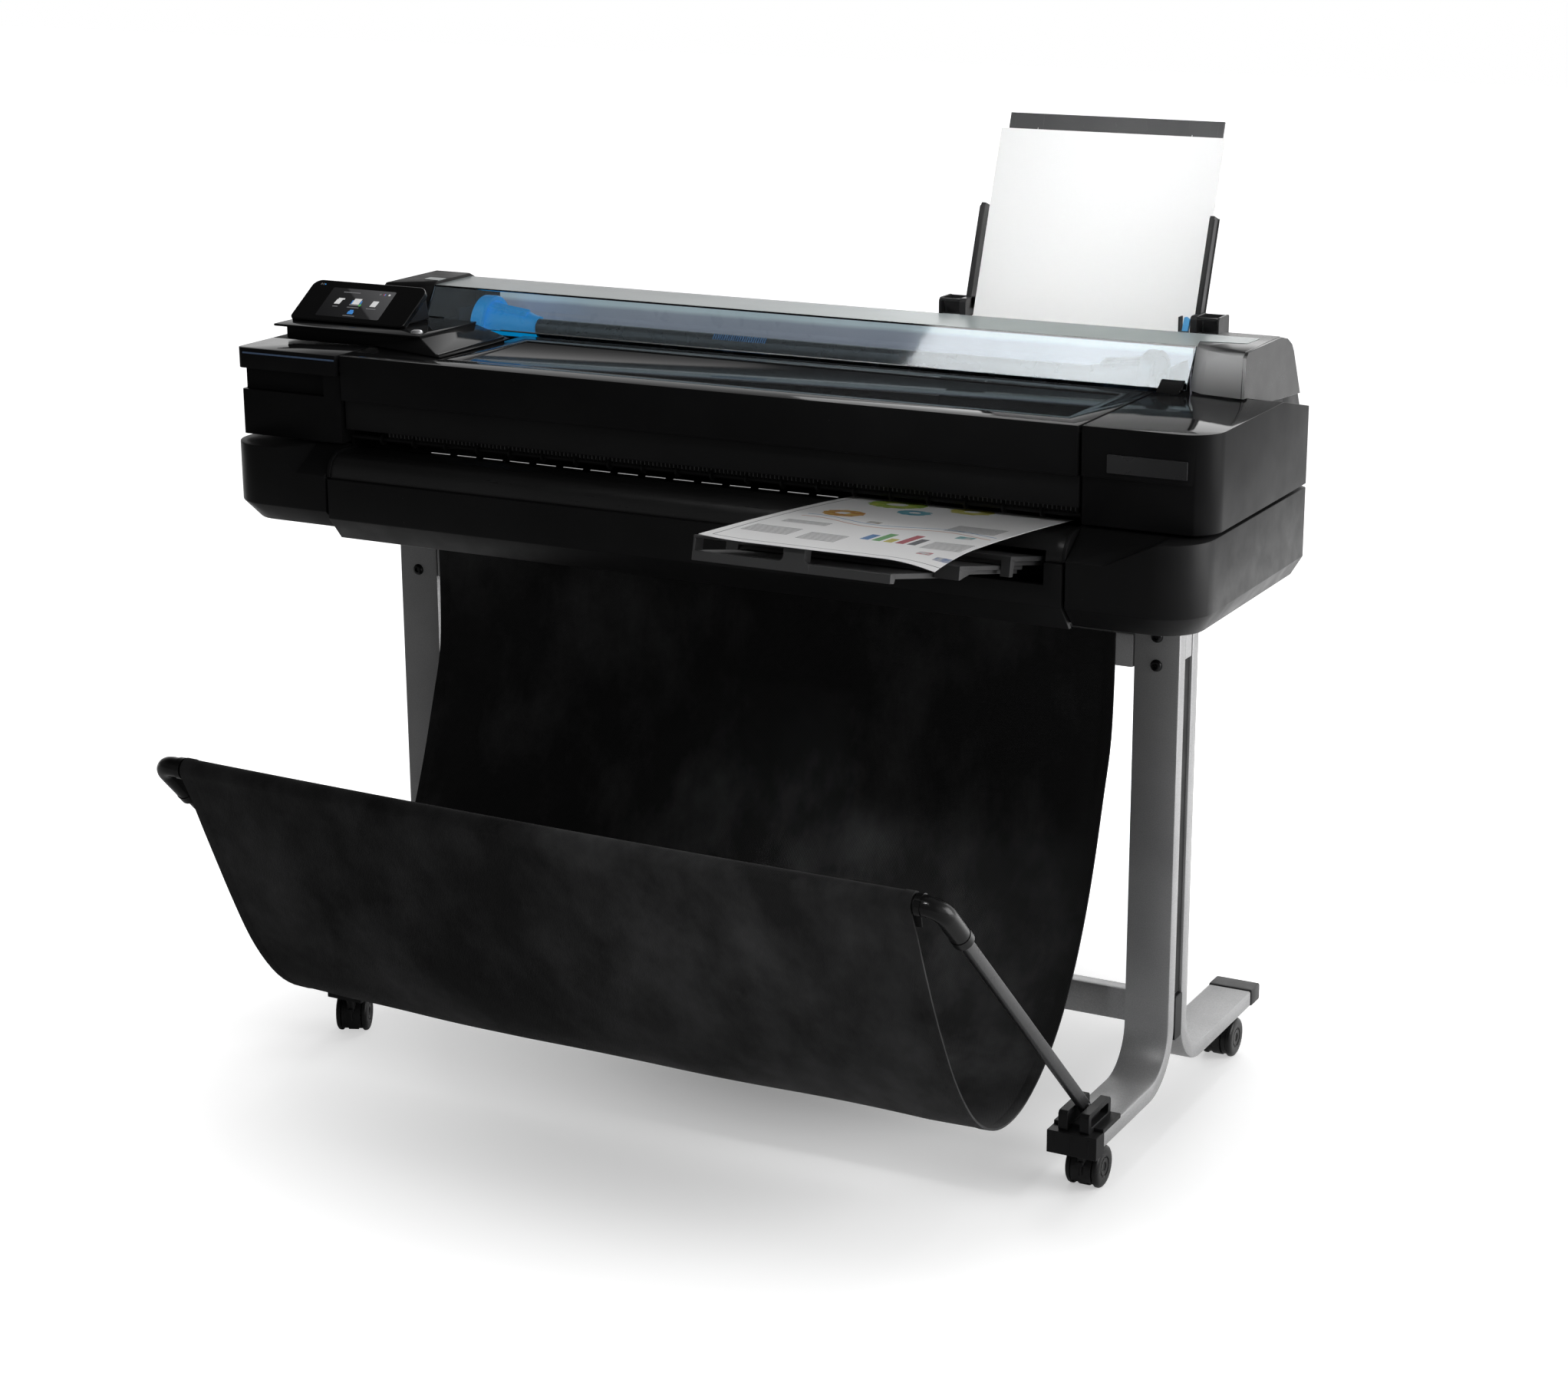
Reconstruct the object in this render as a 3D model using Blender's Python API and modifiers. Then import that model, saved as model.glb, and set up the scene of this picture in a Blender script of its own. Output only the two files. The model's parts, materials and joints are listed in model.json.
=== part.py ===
"""A 36-inch class large format plotter on a caster stand, as separate named sub-parts.

Metres, +Z up, +X to the right and -Y to the front. Sizes are measured from the middle of the stand,
and one empty then moves everything so that the origin is under the middle of the whole object.
"""
import math

import bmesh
import bpy
from mathutils import Matrix, Vector

# Clearances
GAP = 0.0003
SEAM = 0.0025

# Casing: widths
BODY_W = 1.317
END_COVER_W = 0.1545
REAR_INSET = 0.0495
WALL = 0.004

# Casing: heights
BODY_Z = 0.692
LOW_H = 0.109
COVER_GAP = 0.004
UP_H = 0.113
DECK_T = 0.038
TAIL_FALL = 0.215
LID_FRONT_H = 0.057
LID_T = 0.010
FASCIA_H = 0.038
INK_LIP_H = 0.026

# Casing: depths
FRONT_Y = -0.229
LOW_PROUD = 0.041
STEP_IN = 0.004
SIDE_REAR_Y = 0.091
COVER_REAR_Y = 0.1345
REAR_D = 0.070
LID_REAR_Y = -0.003
LID_PROUD = 0.004
LID_REST_D = 0.018
LID_REST_H = 0.009
UP_CORNER_R = 0.040
LOW_CORNER_R = 0.060
LOW_CHAMFER = 0.025
SIDE_INSET = 0.007

# Casing: the left end, which differs from the right one
LEFT_UP_CORNER_R = 0.006
LEFT_LOW_CORNER_R = 0.050
LEFT_FLOOR_RISE = 0.008
LEFT_REAR_TRIM = 0.017
INK_CORNER_R = 0.010

# Lower covers: the scooped front top edge, with where it starts and ends to rise from the seam
SCOOP_DROP = 0.030
SCOOP_LEFT = (0.044, 0.093)
SCOOP_RIGHT = (0.018, 0.108)

# Roll cover, its end caps and the roll
END_CAP_W = 0.0725
COVER_T = 0.003
COVER_FOOT_Y = 0.006
COVER_CREASE_Y = 0.038
COVER_REAR_EDGE_Y = 0.122
COVER_TOP_Z = 0.968
CAP_TOP_Z = 0.972
CAP_FRONT_Y = -0.008
ROLL_Y = 0.070
ROLL_Z = 0.915
TUB_R = 0.054
TUB_T = 0.003
SPINDLE_R = 0.0125
HUB_INSET = 0.024
HUB_FLANGE_R = 0.038
HUB_FLANGE_T = 0.012
HUB_ADAPTER_R = 0.0235
HUB_ADAPTER_L = 0.054

# Print mechanism
PLATE_T = 0.004
PLATEN_Z = 0.790
PLATEN_T = 0.007
PLATEN_FRONT_Y = -0.204
PLATEN_REAR_Y = -0.070
FEED_R = 0.012
STAR_Y = -0.2125
STAR_Z = 0.8125
STAR_R = 0.0075
STAR_SHAFT_R = 0.003
STAR_T = 0.0024
STAR_COUNT = 20
RAIL_Y = -0.035
RAIL_D = 0.030
RAIL_Z = 0.840
RAIL_H = 0.040
CARRIAGE_W = 0.120
CARRIAGE_D = 0.108
CARRIAGE_H = 0.092
CARRIAGE_INSET = 0.084
PULLEY_INSET = 0.044
PULLEY_R = 0.0085
BELT_T = 0.0015
BELT_H = 0.006
MOTOR_R = 0.014
MOTOR_H = 0.030
NOSE_TOP_Z = 0.797
NOSE_FOOT_Z = 0.768
BOARD_T = 0.004

# Ink
INK_COVER_REAR_Y = -0.158
INK_BAY_FRONT_Y = -0.208
INK_BAY_REAR_Y = -0.163
INK_BAY_FLOOR_Z = 0.815
INK_TANK_H = 0.085
INK_COUNT = 4
SCOOP_H = 0.029
SCOOP_MARGIN = 0.026
SCOOP_D = 0.012

# Control unit
BASE_TOP_Z = 0.936
BASE_FRONT_Y = -0.156
BASE_FOOT_Y = -0.192
BASE_REAR_Y = -0.030
BASE_MARGIN = 0.0005
BASE_UNDERCUT = 0.018
FLANGE_T = 0.003
RAMP_INSET = 0.071
RAMP_RUN = 0.057
PANEL_W = 0.178
PANEL_FRONT_Y = -0.125
PANEL_TOP_Y = -0.060
PANEL_TOP_Z = 0.981
PANEL_CREST = 0.010
PANEL_REAR_Y = -0.039
BUTTON_INSET = 0.017
BUTTON_Y = -0.134
BUTTON_R = 0.008
BUTTON_PROUD = 0.004
BUTTON_STROKE = 0.002

# Output tray, measured along its slope from the front panel
TRAY_SLOPE = math.radians(12.0)
TRAY_Z = 0.757
TRAY_TOP = (0.0166, 0.0055, -0.0050)
TRAY_T = (0.0106, 0.0100, 0.0060)
TRAY_MARGIN = 0.0325
TRAY_W = 0.3135
TRAY_STEP_X = 0.016
TRAY_TIP_STEP_X = (0.0, 0.0125, 0.0435)
TRAY_REACH = (0.079, 0.185, 0.290)
TRAY_LENGTH = (0.186, 0.170, 0.170)
TRAY_LIP_TOP = 0.0115
TRAY_LIP_FOOT = -0.016
TRAY_LIP_T = 0.010
MOUTH_MARGIN = 0.0065
MOUTH_Z = 0.742
MOUTH_TOP_Z = 0.780
PRINT_W = 0.297
PRINT_MARGIN = 0.0055
PRINT_T = 0.0008
PRINT_REAR_Y = -0.190
PRINT_REAR_Z = 0.8020
PRINT_FRONT_Y = -0.572

# Sheet feeder, measured up its lean from the slot in the rear cover
FEED_LEAN = math.radians(19.5)
FEED_Y = 0.160
FEED_Z = 0.961
STACK_W = 0.297
STACK_MARGIN = 0.0155
STACK_T = 0.005
STACK_UP = 0.240
STACK_L = 0.420
SUPPORT_T = 0.003
SUPPORT_W = 0.284
SUPPORT_UP = 0.150
SUPPORT_DOWN = 0.100
EXTENSION_UP = 0.262
EXTENSION_L = 0.180
SLOT_MARGIN_X = 0.012
SLOT_FRONT = 0.0045
SLOT_BACK = 0.014
GUIDE_T = 0.006
GUIDE_D = 0.018
GUIDE_UP = 0.142
GUIDE_BLOCK_W = 0.037
GUIDE_BLOCK_D = 0.036
GUIDE_BLOCK_H = 0.024
REAR_DECK_Z = 0.961
REAR_DECK_D = 0.017
REAR_BROW_D = 0.036
REAR_BROW_Z = 0.938
REAR_SHOULDER_Z = 0.8735
REAR_HOLLOW_TOP_Z = 0.850
INLET_MARGIN = 0.089
INLET_Z = 0.752
INLET_W = 0.028
INLET_H = 0.022
INLET_D = 0.018

# Stand
LEG_OUTSET = 0.023
LEG_W = 0.0585
LEG_T = 0.021
LEG_MIDDLE_Y = -0.0075
LEG_SPACE = 0.022
LEG_BEND_R = 0.065
SPACER_INSET = 0.006
FOOT_Z = 0.062
FOOT_FRONT_Y = -0.245
FOOT_REAR_Y = 0.262
FOOT_CAP_L = 0.032
BEAM_Z = 0.590
BEAM_H = 0.042
BEAM_D = 0.026
BRACE_Z = 0.130
BRACE_H = 0.042
BRACKET_W = 0.063
BRACKET_NOSE = 0.025
BRACKET_SLAB_T = 0.006
BRACKET_EAR_T = 0.012
BRACKET_EAR_H = 0.030
BRACKET_SLOT = 0.015
BRACKET_EAR_FRONT_Y = -0.265
BRACKET_EAR_REAR_Y = -0.195

# Casters
CASTER_FRONT_Y = -0.235
CASTER_REAR_Y = 0.2555
CASTER_TRAIL = 0.020
WHEEL_R = 0.026
WHEEL_HALF_W = 0.0215
TREAD_R = 0.0235
TREAD_X = 0.0070
DISC_X = 0.0135
AXLE_R = 0.0035
AXLE_CLEAR = 0.0005
HOOD_T = 0.0022
HOOD_CLEAR = 0.0006
STEM_R = 0.006
FRONT_LEFT_TURN = math.radians(24.0)

# Bin
BAR_Y = -0.588
BAR_Z = 0.466
BAR_R = 0.0095
ELBOW_R = 0.012
ELBOW_BEND_R = 0.030
ELBOW_L = 0.070
ARM_T = 0.008
ARM_W = 0.019
PIVOT_Y = -0.232
PIVOT_Z = 0.107
PIN_R = 0.004
CLOTH_LEFT_MARGIN = 0.013
CLOTH_RIGHT_MARGIN = 0.029
CLOTH_T = 0.003
CLOTH_SLEEVE_R = 0.0125
CLOTH_ROWS = 8
CLOTH_SAG = ((-0.045, 0.500), (-0.064, 0.432), (-0.088, 0.360), (-0.116, 0.292), (-0.150, 0.230),
             (-0.192, 0.176), (-0.245, 0.135), (-0.305, 0.113), (-0.365, 0.117), (-0.420, 0.150),
             (-0.468, 0.210), (-0.512, 0.293), (-0.549, 0.385))

# Rounding
EDGE_R = 0.003
FINE_EDGE_R = 0.0012

# Places worked out from the sizes above
HALF_W = BODY_W / 2
SEAM_X = HALF_W - END_COVER_W
REAR_HALF_W = HALF_W - REAR_INSET
REAR_LEFT_X = -REAR_HALF_W + LEFT_REAR_TRIM
COVER_HALF_W = REAR_HALF_W - END_CAP_W - SEAM
HUB_X = SEAM_X - HUB_INSET
CARRIAGE_X = SEAM_X - CARRIAGE_INSET
PULLEY_X = SEAM_X - PULLEY_INSET
SCOOP_END_X = SEAM_X + SCOOP_MARGIN
BASE_LEFT_X = -HALF_W + BASE_MARGIN
RAMP_TOP_X = -SEAM_X + RAMP_INSET
RAMP_FOOT_X = RAMP_TOP_X + RAMP_RUN
PANEL_RIGHT_X = BASE_LEFT_X + PANEL_W
BUTTON_X = RAMP_TOP_X - BUTTON_INSET
TRAY_RIGHT_X = SEAM_X - TRAY_MARGIN
PRINT_RIGHT_X = SEAM_X - PRINT_MARGIN
STACK_LEFT_X = SEAM_X - STACK_MARGIN - STACK_W
INLET_X = -REAR_HALF_W + INLET_MARGIN
LEG_X = SEAM_X + LEG_OUTSET
CLOTH_LEFT_X = -SEAM_X + CLOTH_LEFT_MARGIN
CLOTH_RIGHT_X = SEAM_X - CLOTH_RIGHT_MARGIN
LOW_TOP_Z = BODY_Z + LOW_H
UP_Z = LOW_TOP_Z + COVER_GAP
DECK_Z = UP_Z + UP_H
STEP_Z = DECK_Z - LID_FRONT_H
LOW_FRONT_Y = FRONT_Y - LOW_PROUD
REAR_FRONT_Y = COVER_REAR_Y + 2 * GAP
REAR_Y = REAR_FRONT_Y + REAR_D
LID_HALF_W = SEAM_X - SEAM - 0.001
PLATE_IN_X = SEAM_X - 2 * GAP - PLATE_T
LEG_IN_X = LEG_X - LEG_W / 2
FRONT_BAR_Y = LEG_MIDDLE_Y - LEG_SPACE / 2 - LEG_T / 2
REAR_BAR_Y = LEG_MIDDLE_Y + LEG_SPACE / 2 + LEG_T / 2
FOOT_TOP_Z = FOOT_Z + LEG_T
REAR_END_Y = FOOT_REAR_Y + FOOT_CAP_L
FRONT_END_Y = BAR_Y - CLOTH_SLEEVE_R - CLOTH_T / 2
Y_SHIFT = -(FRONT_END_Y + REAR_END_Y) / 2
NOSE_FRONT_Y = LOW_FRONT_Y + 0.006
FASCIA_Y = FRONT_Y + STEP_IN
FASCIA_Z = STEP_Z - FASCIA_H
PLATE_FRONT_Y = FASCIA_Y + 0.0155
INK_LIP_Z = DECK_Z - INK_LIP_H
BAR_LEFT_X = CLOTH_LEFT_X - SEAM
BAR_RIGHT_X = CLOTH_RIGHT_X + SEAM

ROOT_NAME = "plotter_origin"


def clear_scene():
    for old in list(bpy.data.objects):
        bpy.data.objects.remove(old, do_unlink=True)


def new_collection(name):
    collection = bpy.data.collections.new(name)
    bpy.context.scene.collection.children.link(collection)
    return collection


def new_material(name, colour, roughness, metallic=0.0, alpha=1.0):
    made = bpy.data.materials.new(name)
    made.use_nodes = True
    shader = made.node_tree.nodes["Principled BSDF"]
    shader.inputs["Base Color"].default_value = (*colour, 1.0)
    shader.inputs["Roughness"].default_value = roughness
    shader.inputs["Metallic"].default_value = metallic
    shader.inputs["Alpha"].default_value = alpha
    return made


clear_scene()
PARTS = new_collection("large_format_plotter")
CUTTERS = new_collection("cutters")
ROOT = bpy.data.objects.new(ROOT_NAME, None)
ROOT.location = (0.0, Y_SHIFT, 0.0)
PARTS.objects.link(ROOT)

SATIN_BLACK = new_material("satin_black_plastic", (0.020, 0.020, 0.021), 0.42)
GLOSS_BLACK = new_material("gloss_black_plastic", (0.012, 0.012, 0.013), 0.12)
MATT_BLACK = new_material("matt_black_plastic", (0.018, 0.018, 0.018), 0.60)
SMOKED_CLEAR = new_material("smoked_clear_plastic", (0.45, 0.60, 0.66), 0.05, alpha=0.35)
GREY_PLASTIC = new_material("grey_plastic", (0.070, 0.070, 0.072), 0.50)
BLUE_PLASTIC = new_material("blue_plastic", (0.020, 0.200, 0.560), 0.40)
SILVER_PAINT = new_material("silver_paint", (0.300, 0.300, 0.305), 0.45, metallic=0.6)
DARK_METAL = new_material("dark_metal", (0.120, 0.120, 0.125), 0.35, metallic=0.8)
STEEL = new_material("steel", (0.520, 0.520, 0.530), 0.30, metallic=1.0)
RUBBER = new_material("rubber", (0.030, 0.030, 0.030), 0.80)
CLOTH = new_material("black_cloth", (0.015, 0.015, 0.016), 0.90)
PAPER = new_material("white_paper", (0.850, 0.850, 0.850), 0.70)
BOARD = new_material("circuit_board", (0.030, 0.130, 0.060), 0.55)
INKS = (
    new_material("cyan_tank", (0.050, 0.350, 0.600), 0.40),
    new_material("magenta_tank", (0.550, 0.050, 0.250), 0.40),
    new_material("yellow_tank", (0.750, 0.600, 0.050), 0.40),
    new_material("black_tank", (0.030, 0.030, 0.030), 0.40),
)


# Shape helpers


def add_mesh(mesh):
    made = bpy.data.objects.new("piece", mesh)
    made.parent = ROOT
    return made


def box(low, high):
    """A closed box between two corners."""
    work = bmesh.new()
    bmesh.ops.create_cube(work, size=1.0)
    size = [h - l for l, h in zip(low, high)]
    middle = [(h + l) / 2 for l, h in zip(low, high)]
    bmesh.ops.scale(work, vec=size, verts=work.verts)
    bmesh.ops.translate(work, vec=middle, verts=work.verts)
    mesh = bpy.data.meshes.new("box")
    work.to_mesh(mesh)
    work.free()
    return add_mesh(mesh)


def weld(mesh):
    """Joins a filled curve's caps to its sides and merges its flat triangles."""
    work = bmesh.new()
    work.from_mesh(mesh)
    bmesh.ops.remove_doubles(work, verts=work.verts, dist=0.000002)
    bmesh.ops.dissolve_limit(work, angle_limit=0.002, verts=work.verts, edges=work.edges)
    bmesh.ops.recalc_face_normals(work, faces=work.faces)
    work.to_mesh(mesh)
    work.free()


def mesh_from_curve(curve):
    holder = bpy.data.objects.new("outline", curve)
    CUTTERS.objects.link(holder)
    graph = bpy.context.evaluated_depsgraph_get()
    mesh = bpy.data.meshes.new_from_object(holder.evaluated_get(graph))
    bpy.data.objects.remove(holder)
    weld(mesh)
    return mesh


TURN_TO = {
    "X": Matrix(((0, 0, 1), (1, 0, 0), (0, 1, 0))),
    "Y": Matrix(((1, 0, 0), (0, 0, -1), (0, 1, 0))),
    "Z": Matrix.Identity(3),
}


def prism(outline, axis, low, high):
    """A flat outline, extruded along an axis between two places.

    The outline is (y, z) for X, (x, z) for Y and (x, y) for Z.
    """
    curve = bpy.data.curves.new("outline", "CURVE")
    curve.dimensions = "2D"
    curve.fill_mode = "BOTH"
    curve.extrude = (high - low) / 2
    spline = curve.splines.new("POLY")
    spline.points.add(len(outline) - 1)
    for point, (u, v) in zip(spline.points, outline):
        point.co = (u, v, 0.0, 1.0)
    spline.use_cyclic_u = True
    mesh = mesh_from_curve(curve)
    middle = Vector((0.0, 0.0, 0.0))
    middle["XYZ".index(axis)] = (low + high) / 2
    mesh.transform(Matrix.Translation(middle) @ TURN_TO[axis].to_4x4())
    return add_mesh(mesh)


def tube(points, radius, resolution=3):
    """A round bar along points, with closed ends."""
    curve = bpy.data.curves.new("tube", "CURVE")
    curve.dimensions = "3D"
    curve.bevel_depth = radius
    curve.bevel_resolution = resolution
    curve.use_fill_caps = True
    spline = curve.splines.new("POLY")
    spline.points.add(len(points) - 1)
    for point, place in zip(spline.points, points):
        point.co = (*place, 1.0)
    return add_mesh(mesh_from_curve(curve))


def turned(profile, place, steps=24):
    """A profile of (radius, x) points, from the high x end to the low one, turned about an X axis."""
    mesh = bpy.data.meshes.new("turned")
    points = [(radius, 0.0, x) for radius, x in profile]
    mesh.from_pydata(points, [(i, i + 1) for i in range(len(points) - 1)], [])
    made = add_mesh(mesh)
    screw = made.modifiers.new("turn", "SCREW")
    screw.steps = steps
    screw.render_steps = steps
    screw.use_merge_vertices = True
    screw.merge_threshold = 0.00001
    screw.use_smooth_shade = True
    made.rotation_euler = (0.0, math.pi / 2, 0.0)
    made.location = place
    return made


def loft(sections):
    """A closed solid through loops with the same number of points, capped at both ends."""
    work = bmesh.new()
    rings = [[work.verts.new(point) for point in section] for section in sections]
    for first, second in zip(rings, rings[1:]):
        for i in range(len(first)):
            j = (i + 1) % len(first)
            work.faces.new((first[i], first[j], second[j], second[i]))
    bmesh.ops.connect_verts_nonplanar(work, angle_limit=0.0001, faces=work.faces)
    work.faces.new(list(reversed(rings[0])))
    work.faces.new(rings[-1])
    bmesh.ops.recalc_face_normals(work, faces=work.faces)
    mesh = bpy.data.meshes.new("loft")
    work.to_mesh(mesh)
    work.free()
    return add_mesh(mesh)


def arc(centre, radius, start, end, steps):
    """Points on a circle, from one angle to another in degrees."""
    angles = [math.radians(start + (end - start) * i / steps) for i in range(steps + 1)]
    return [(centre[0] + radius * math.cos(a), centre[1] + radius * math.sin(a)) for a in angles]


def rounded(corners, steps=6):
    """An outline of (u, v, radius) corners, each with its radius as an arc."""
    outline = []
    for i, (u, v, radius) in enumerate(corners):
        corner = Vector((u, v))
        if radius == 0.0:
            outline.append((u, v))
            continue
        before = (Vector(corners[i - 1][:2]) - corner).normalized()
        after = (Vector(corners[(i + 1) % len(corners)][:2]) - corner).normalized()
        half = before.angle(after) / 2
        centre = corner + (before + after).normalized() * radius / math.sin(half)
        first = (corner + before * radius / math.tan(half) - centre).normalized()
        last = (corner + after * radius / math.tan(half) - centre).normalized()
        for step in range(steps + 1):
            outline.append(tuple(centre + first.slerp(last, step / steps) * radius))
    return outline


def ribbon(path, thickness):
    """The outline of a bent strip of even thickness along a path."""
    sides = []
    points = [Vector(p) for p in path]
    for i, point in enumerate(points):
        ahead = (points[min(i + 1, len(points) - 1)] - point)
        behind = (point - points[max(i - 1, 0)])
        ahead = ahead.normalized() if ahead.length > 0 else behind.normalized()
        behind = behind.normalized() if behind.length > 0 else ahead
        along = (ahead + behind).normalized()
        across = Vector((-along.y, along.x)) * thickness / 2 / along.dot(ahead)
        sides.append((point + across, point - across))
    return [tuple(a) for a, b in sides] + [tuple(b) for a, b in reversed(sides)]


def mirror_x(outline):
    return [(-u, v) for u, v in reversed(outline)]


def bevel(made, width=EDGE_R, segments=2):
    close = made.modifiers.new("weld", "WELD")
    close.merge_threshold = 0.00005
    edges = made.modifiers.new("round", "BEVEL")
    edges.width = width
    edges.segments = segments
    edges.limit_method = "ANGLE"
    edges.angle_limit = math.radians(35.0)
    return made


def combine(made, other, operation):
    CUTTERS.objects.link(other)
    other.hide_render = True
    other.display_type = "WIRE"
    step = made.modifiers.new(operation.lower(), "BOOLEAN")
    step.operation = operation
    step.solver = "EXACT"
    step.object = other
    return made


def cut(made, *cutters):
    for cutter in cutters:
        combine(made, cutter, "DIFFERENCE")
    return made


def join(made, *others):
    for other in others:
        combine(made, other, "UNION")
    return made


def part(made, name, material, origin=None):
    """Names a finished sub-part, gives it its material and sets its origin."""
    made.name = name
    made.data.name = name
    made.data.materials.clear()
    made.data.materials.append(material)
    if origin is not None:
        made.data.transform(Matrix.Translation(-Vector(origin)))
        made.location = origin
    PARTS.objects.link(made)
    return made


# Stand


def bent_bar(middle_y, foot_y, way):
    """The side outline of one leg bar: down, round the bend and out along the floor."""
    foot_middle = FOOT_Z + LEG_T / 2
    centre = (middle_y + way * LEG_BEND_R, foot_middle + LEG_BEND_R)
    bend = arc(centre, LEG_BEND_R, 180 if way > 0 else 360, 270, 12)
    return ribbon([(middle_y, BODY_Z - GAP)] + bend + [(foot_y, foot_middle)], LEG_T)


def make_leg(name, middle_x):
    low, high = middle_x - LEG_W / 2, middle_x + LEG_W / 2
    made = bevel(prism(bent_bar(FRONT_BAR_Y, FOOT_FRONT_Y, -1), "X", low, high))
    rear = bevel(prism(bent_bar(REAR_BAR_Y, FOOT_REAR_Y, 1), "X", low, high))
    sink = 0.001
    spacer = box((low + SPACER_INSET, FRONT_BAR_Y + LEG_T / 2 - sink, BRACE_Z),
                 (high - SPACER_INSET, REAR_BAR_Y - LEG_T / 2 + sink, BODY_Z - BRACE_H))
    part(join(made, spacer, rear), name, SILVER_PAINT)


def make_stand():
    for side, name in ((-1, "left"), (1, "right")):
        make_leg(name + "_leg", side * LEG_X)
        make_bracket(name + "_foot_bracket", side * LEG_X)
        cap = box((side * LEG_X - LEG_W / 2 - 0.001, FOOT_REAR_Y + GAP, FOOT_Z - 0.001),
                  (side * LEG_X + LEG_W / 2 + 0.001, REAR_END_Y, FOOT_TOP_Z + 0.001))
        part(bevel(cap), name + "_rear_foot_cap", SATIN_BLACK)
    reach = LEG_IN_X - GAP
    beam_y = FRONT_BAR_Y
    beam = box((-reach, beam_y - LEG_T / 2, BEAM_Z), (reach, beam_y - LEG_T / 2 + BEAM_D, BEAM_Z + BEAM_H))
    part(bevel(beam), "upper_beam", SILVER_PAINT)
    brace_half = LEG_SPACE / 2 - GAP
    brace_reach = reach + SPACER_INSET
    brace = box((-brace_reach, LEG_MIDDLE_Y - brace_half, BRACE_Z),
                (brace_reach, LEG_MIDDLE_Y + brace_half, BRACE_Z + BRACE_H))
    part(bevel(brace), "lower_brace", SILVER_PAINT)


def make_bracket(name, middle_x):
    """A nose in front of the foot, a slab over it and two ears with the arm's slot between them."""
    half = BRACKET_W / 2
    slab_z = FOOT_TOP_Z + GAP
    front_y = FOOT_FRONT_Y - BRACKET_NOSE
    made = box((middle_x - half, front_y, FOOT_Z), (middle_x + half, FOOT_FRONT_Y - GAP, slab_z + BRACKET_SLAB_T))
    slab = box((middle_x - half, front_y + EDGE_R, slab_z),
               (middle_x + half, BRACKET_EAR_REAR_Y, slab_z + BRACKET_SLAB_T - 0.0002))
    ears = []
    for side in (-1, 1):
        inner = middle_x + side * BRACKET_SLOT / 2
        outer = inner + side * BRACKET_EAR_T
        ears.append(box((min(inner, outer), BRACKET_EAR_FRONT_Y, slab_z + 0.001),
                        (max(inner, outer), BRACKET_EAR_REAR_Y - 0.002, slab_z + BRACKET_SLAB_T + BRACKET_EAR_H)))
    part(bevel(join(made, slab, *ears), FINE_EDGE_R), name, SATIN_BLACK)


def make_caster(name, middle_x, middle_y, turn):
    """A swivel hood with its stem, and a pair of wheels on an axle through it."""
    swivel = Vector((middle_x, middle_y, 0.0))
    trail = Matrix.Rotation(turn, 3, "Z") @ Vector((0.0, CASTER_TRAIL, 0.0))
    hub = swivel + trail + Vector((0.0, 0.0, WHEEL_R))
    hood_in = TREAD_R + HOOD_CLEAR
    hood_out = hood_in + HOOD_T
    centre = (CASTER_TRAIL, WHEEL_R)
    shell = arc(centre, hood_out, 60, 215, 14) + arc(centre, hood_in, 215, 60, 14)
    hood = prism(shell, "X", -DISC_X + HOOD_CLEAR, DISC_X - HOOD_CLEAR)
    web = prism(arc(centre, hood_in + HOOD_T / 2, 0, 345, 23), "X", -TREAD_X + 2 * HOOD_CLEAR, TREAD_X - 2 * HOOD_CLEAR)
    bore = prism(arc(centre, AXLE_R + AXLE_CLEAR, 0, 337.5, 15), "X", -DISC_X, DISC_X)
    stem = prism(arc((0.0, 0.0), STEM_R, 0, 330, 11), "Z", WHEEL_R + STEM_R, FOOT_Z - GAP)
    for made in (hood, web, bore, stem):
        made.data.transform(Matrix.Translation(swivel) @ Matrix.Rotation(turn, 4, "Z"))
    part(cut(join(hood, web, stem), bore), name + "_hood", SATIN_BLACK, swivel)
    half = ((0.0, WHEEL_HALF_W - 0.002), (TREAD_R * 0.8, WHEEL_HALF_W), (WHEEL_R - 0.002, WHEEL_HALF_W - 0.001),
            (WHEEL_R, WHEEL_HALF_W - 0.003), (WHEEL_R, DISC_X), (TREAD_R, DISC_X), (TREAD_R, TREAD_X),
            (AXLE_R, TREAD_X))
    profile = list(half) + [(radius, -x) for radius, x in reversed(half)]
    wheels = turned(profile, hub)
    wheels.rotation_euler = (0.0, math.pi / 2, turn)
    part(wheels, name + "_wheels", RUBBER)


# Bin


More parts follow.
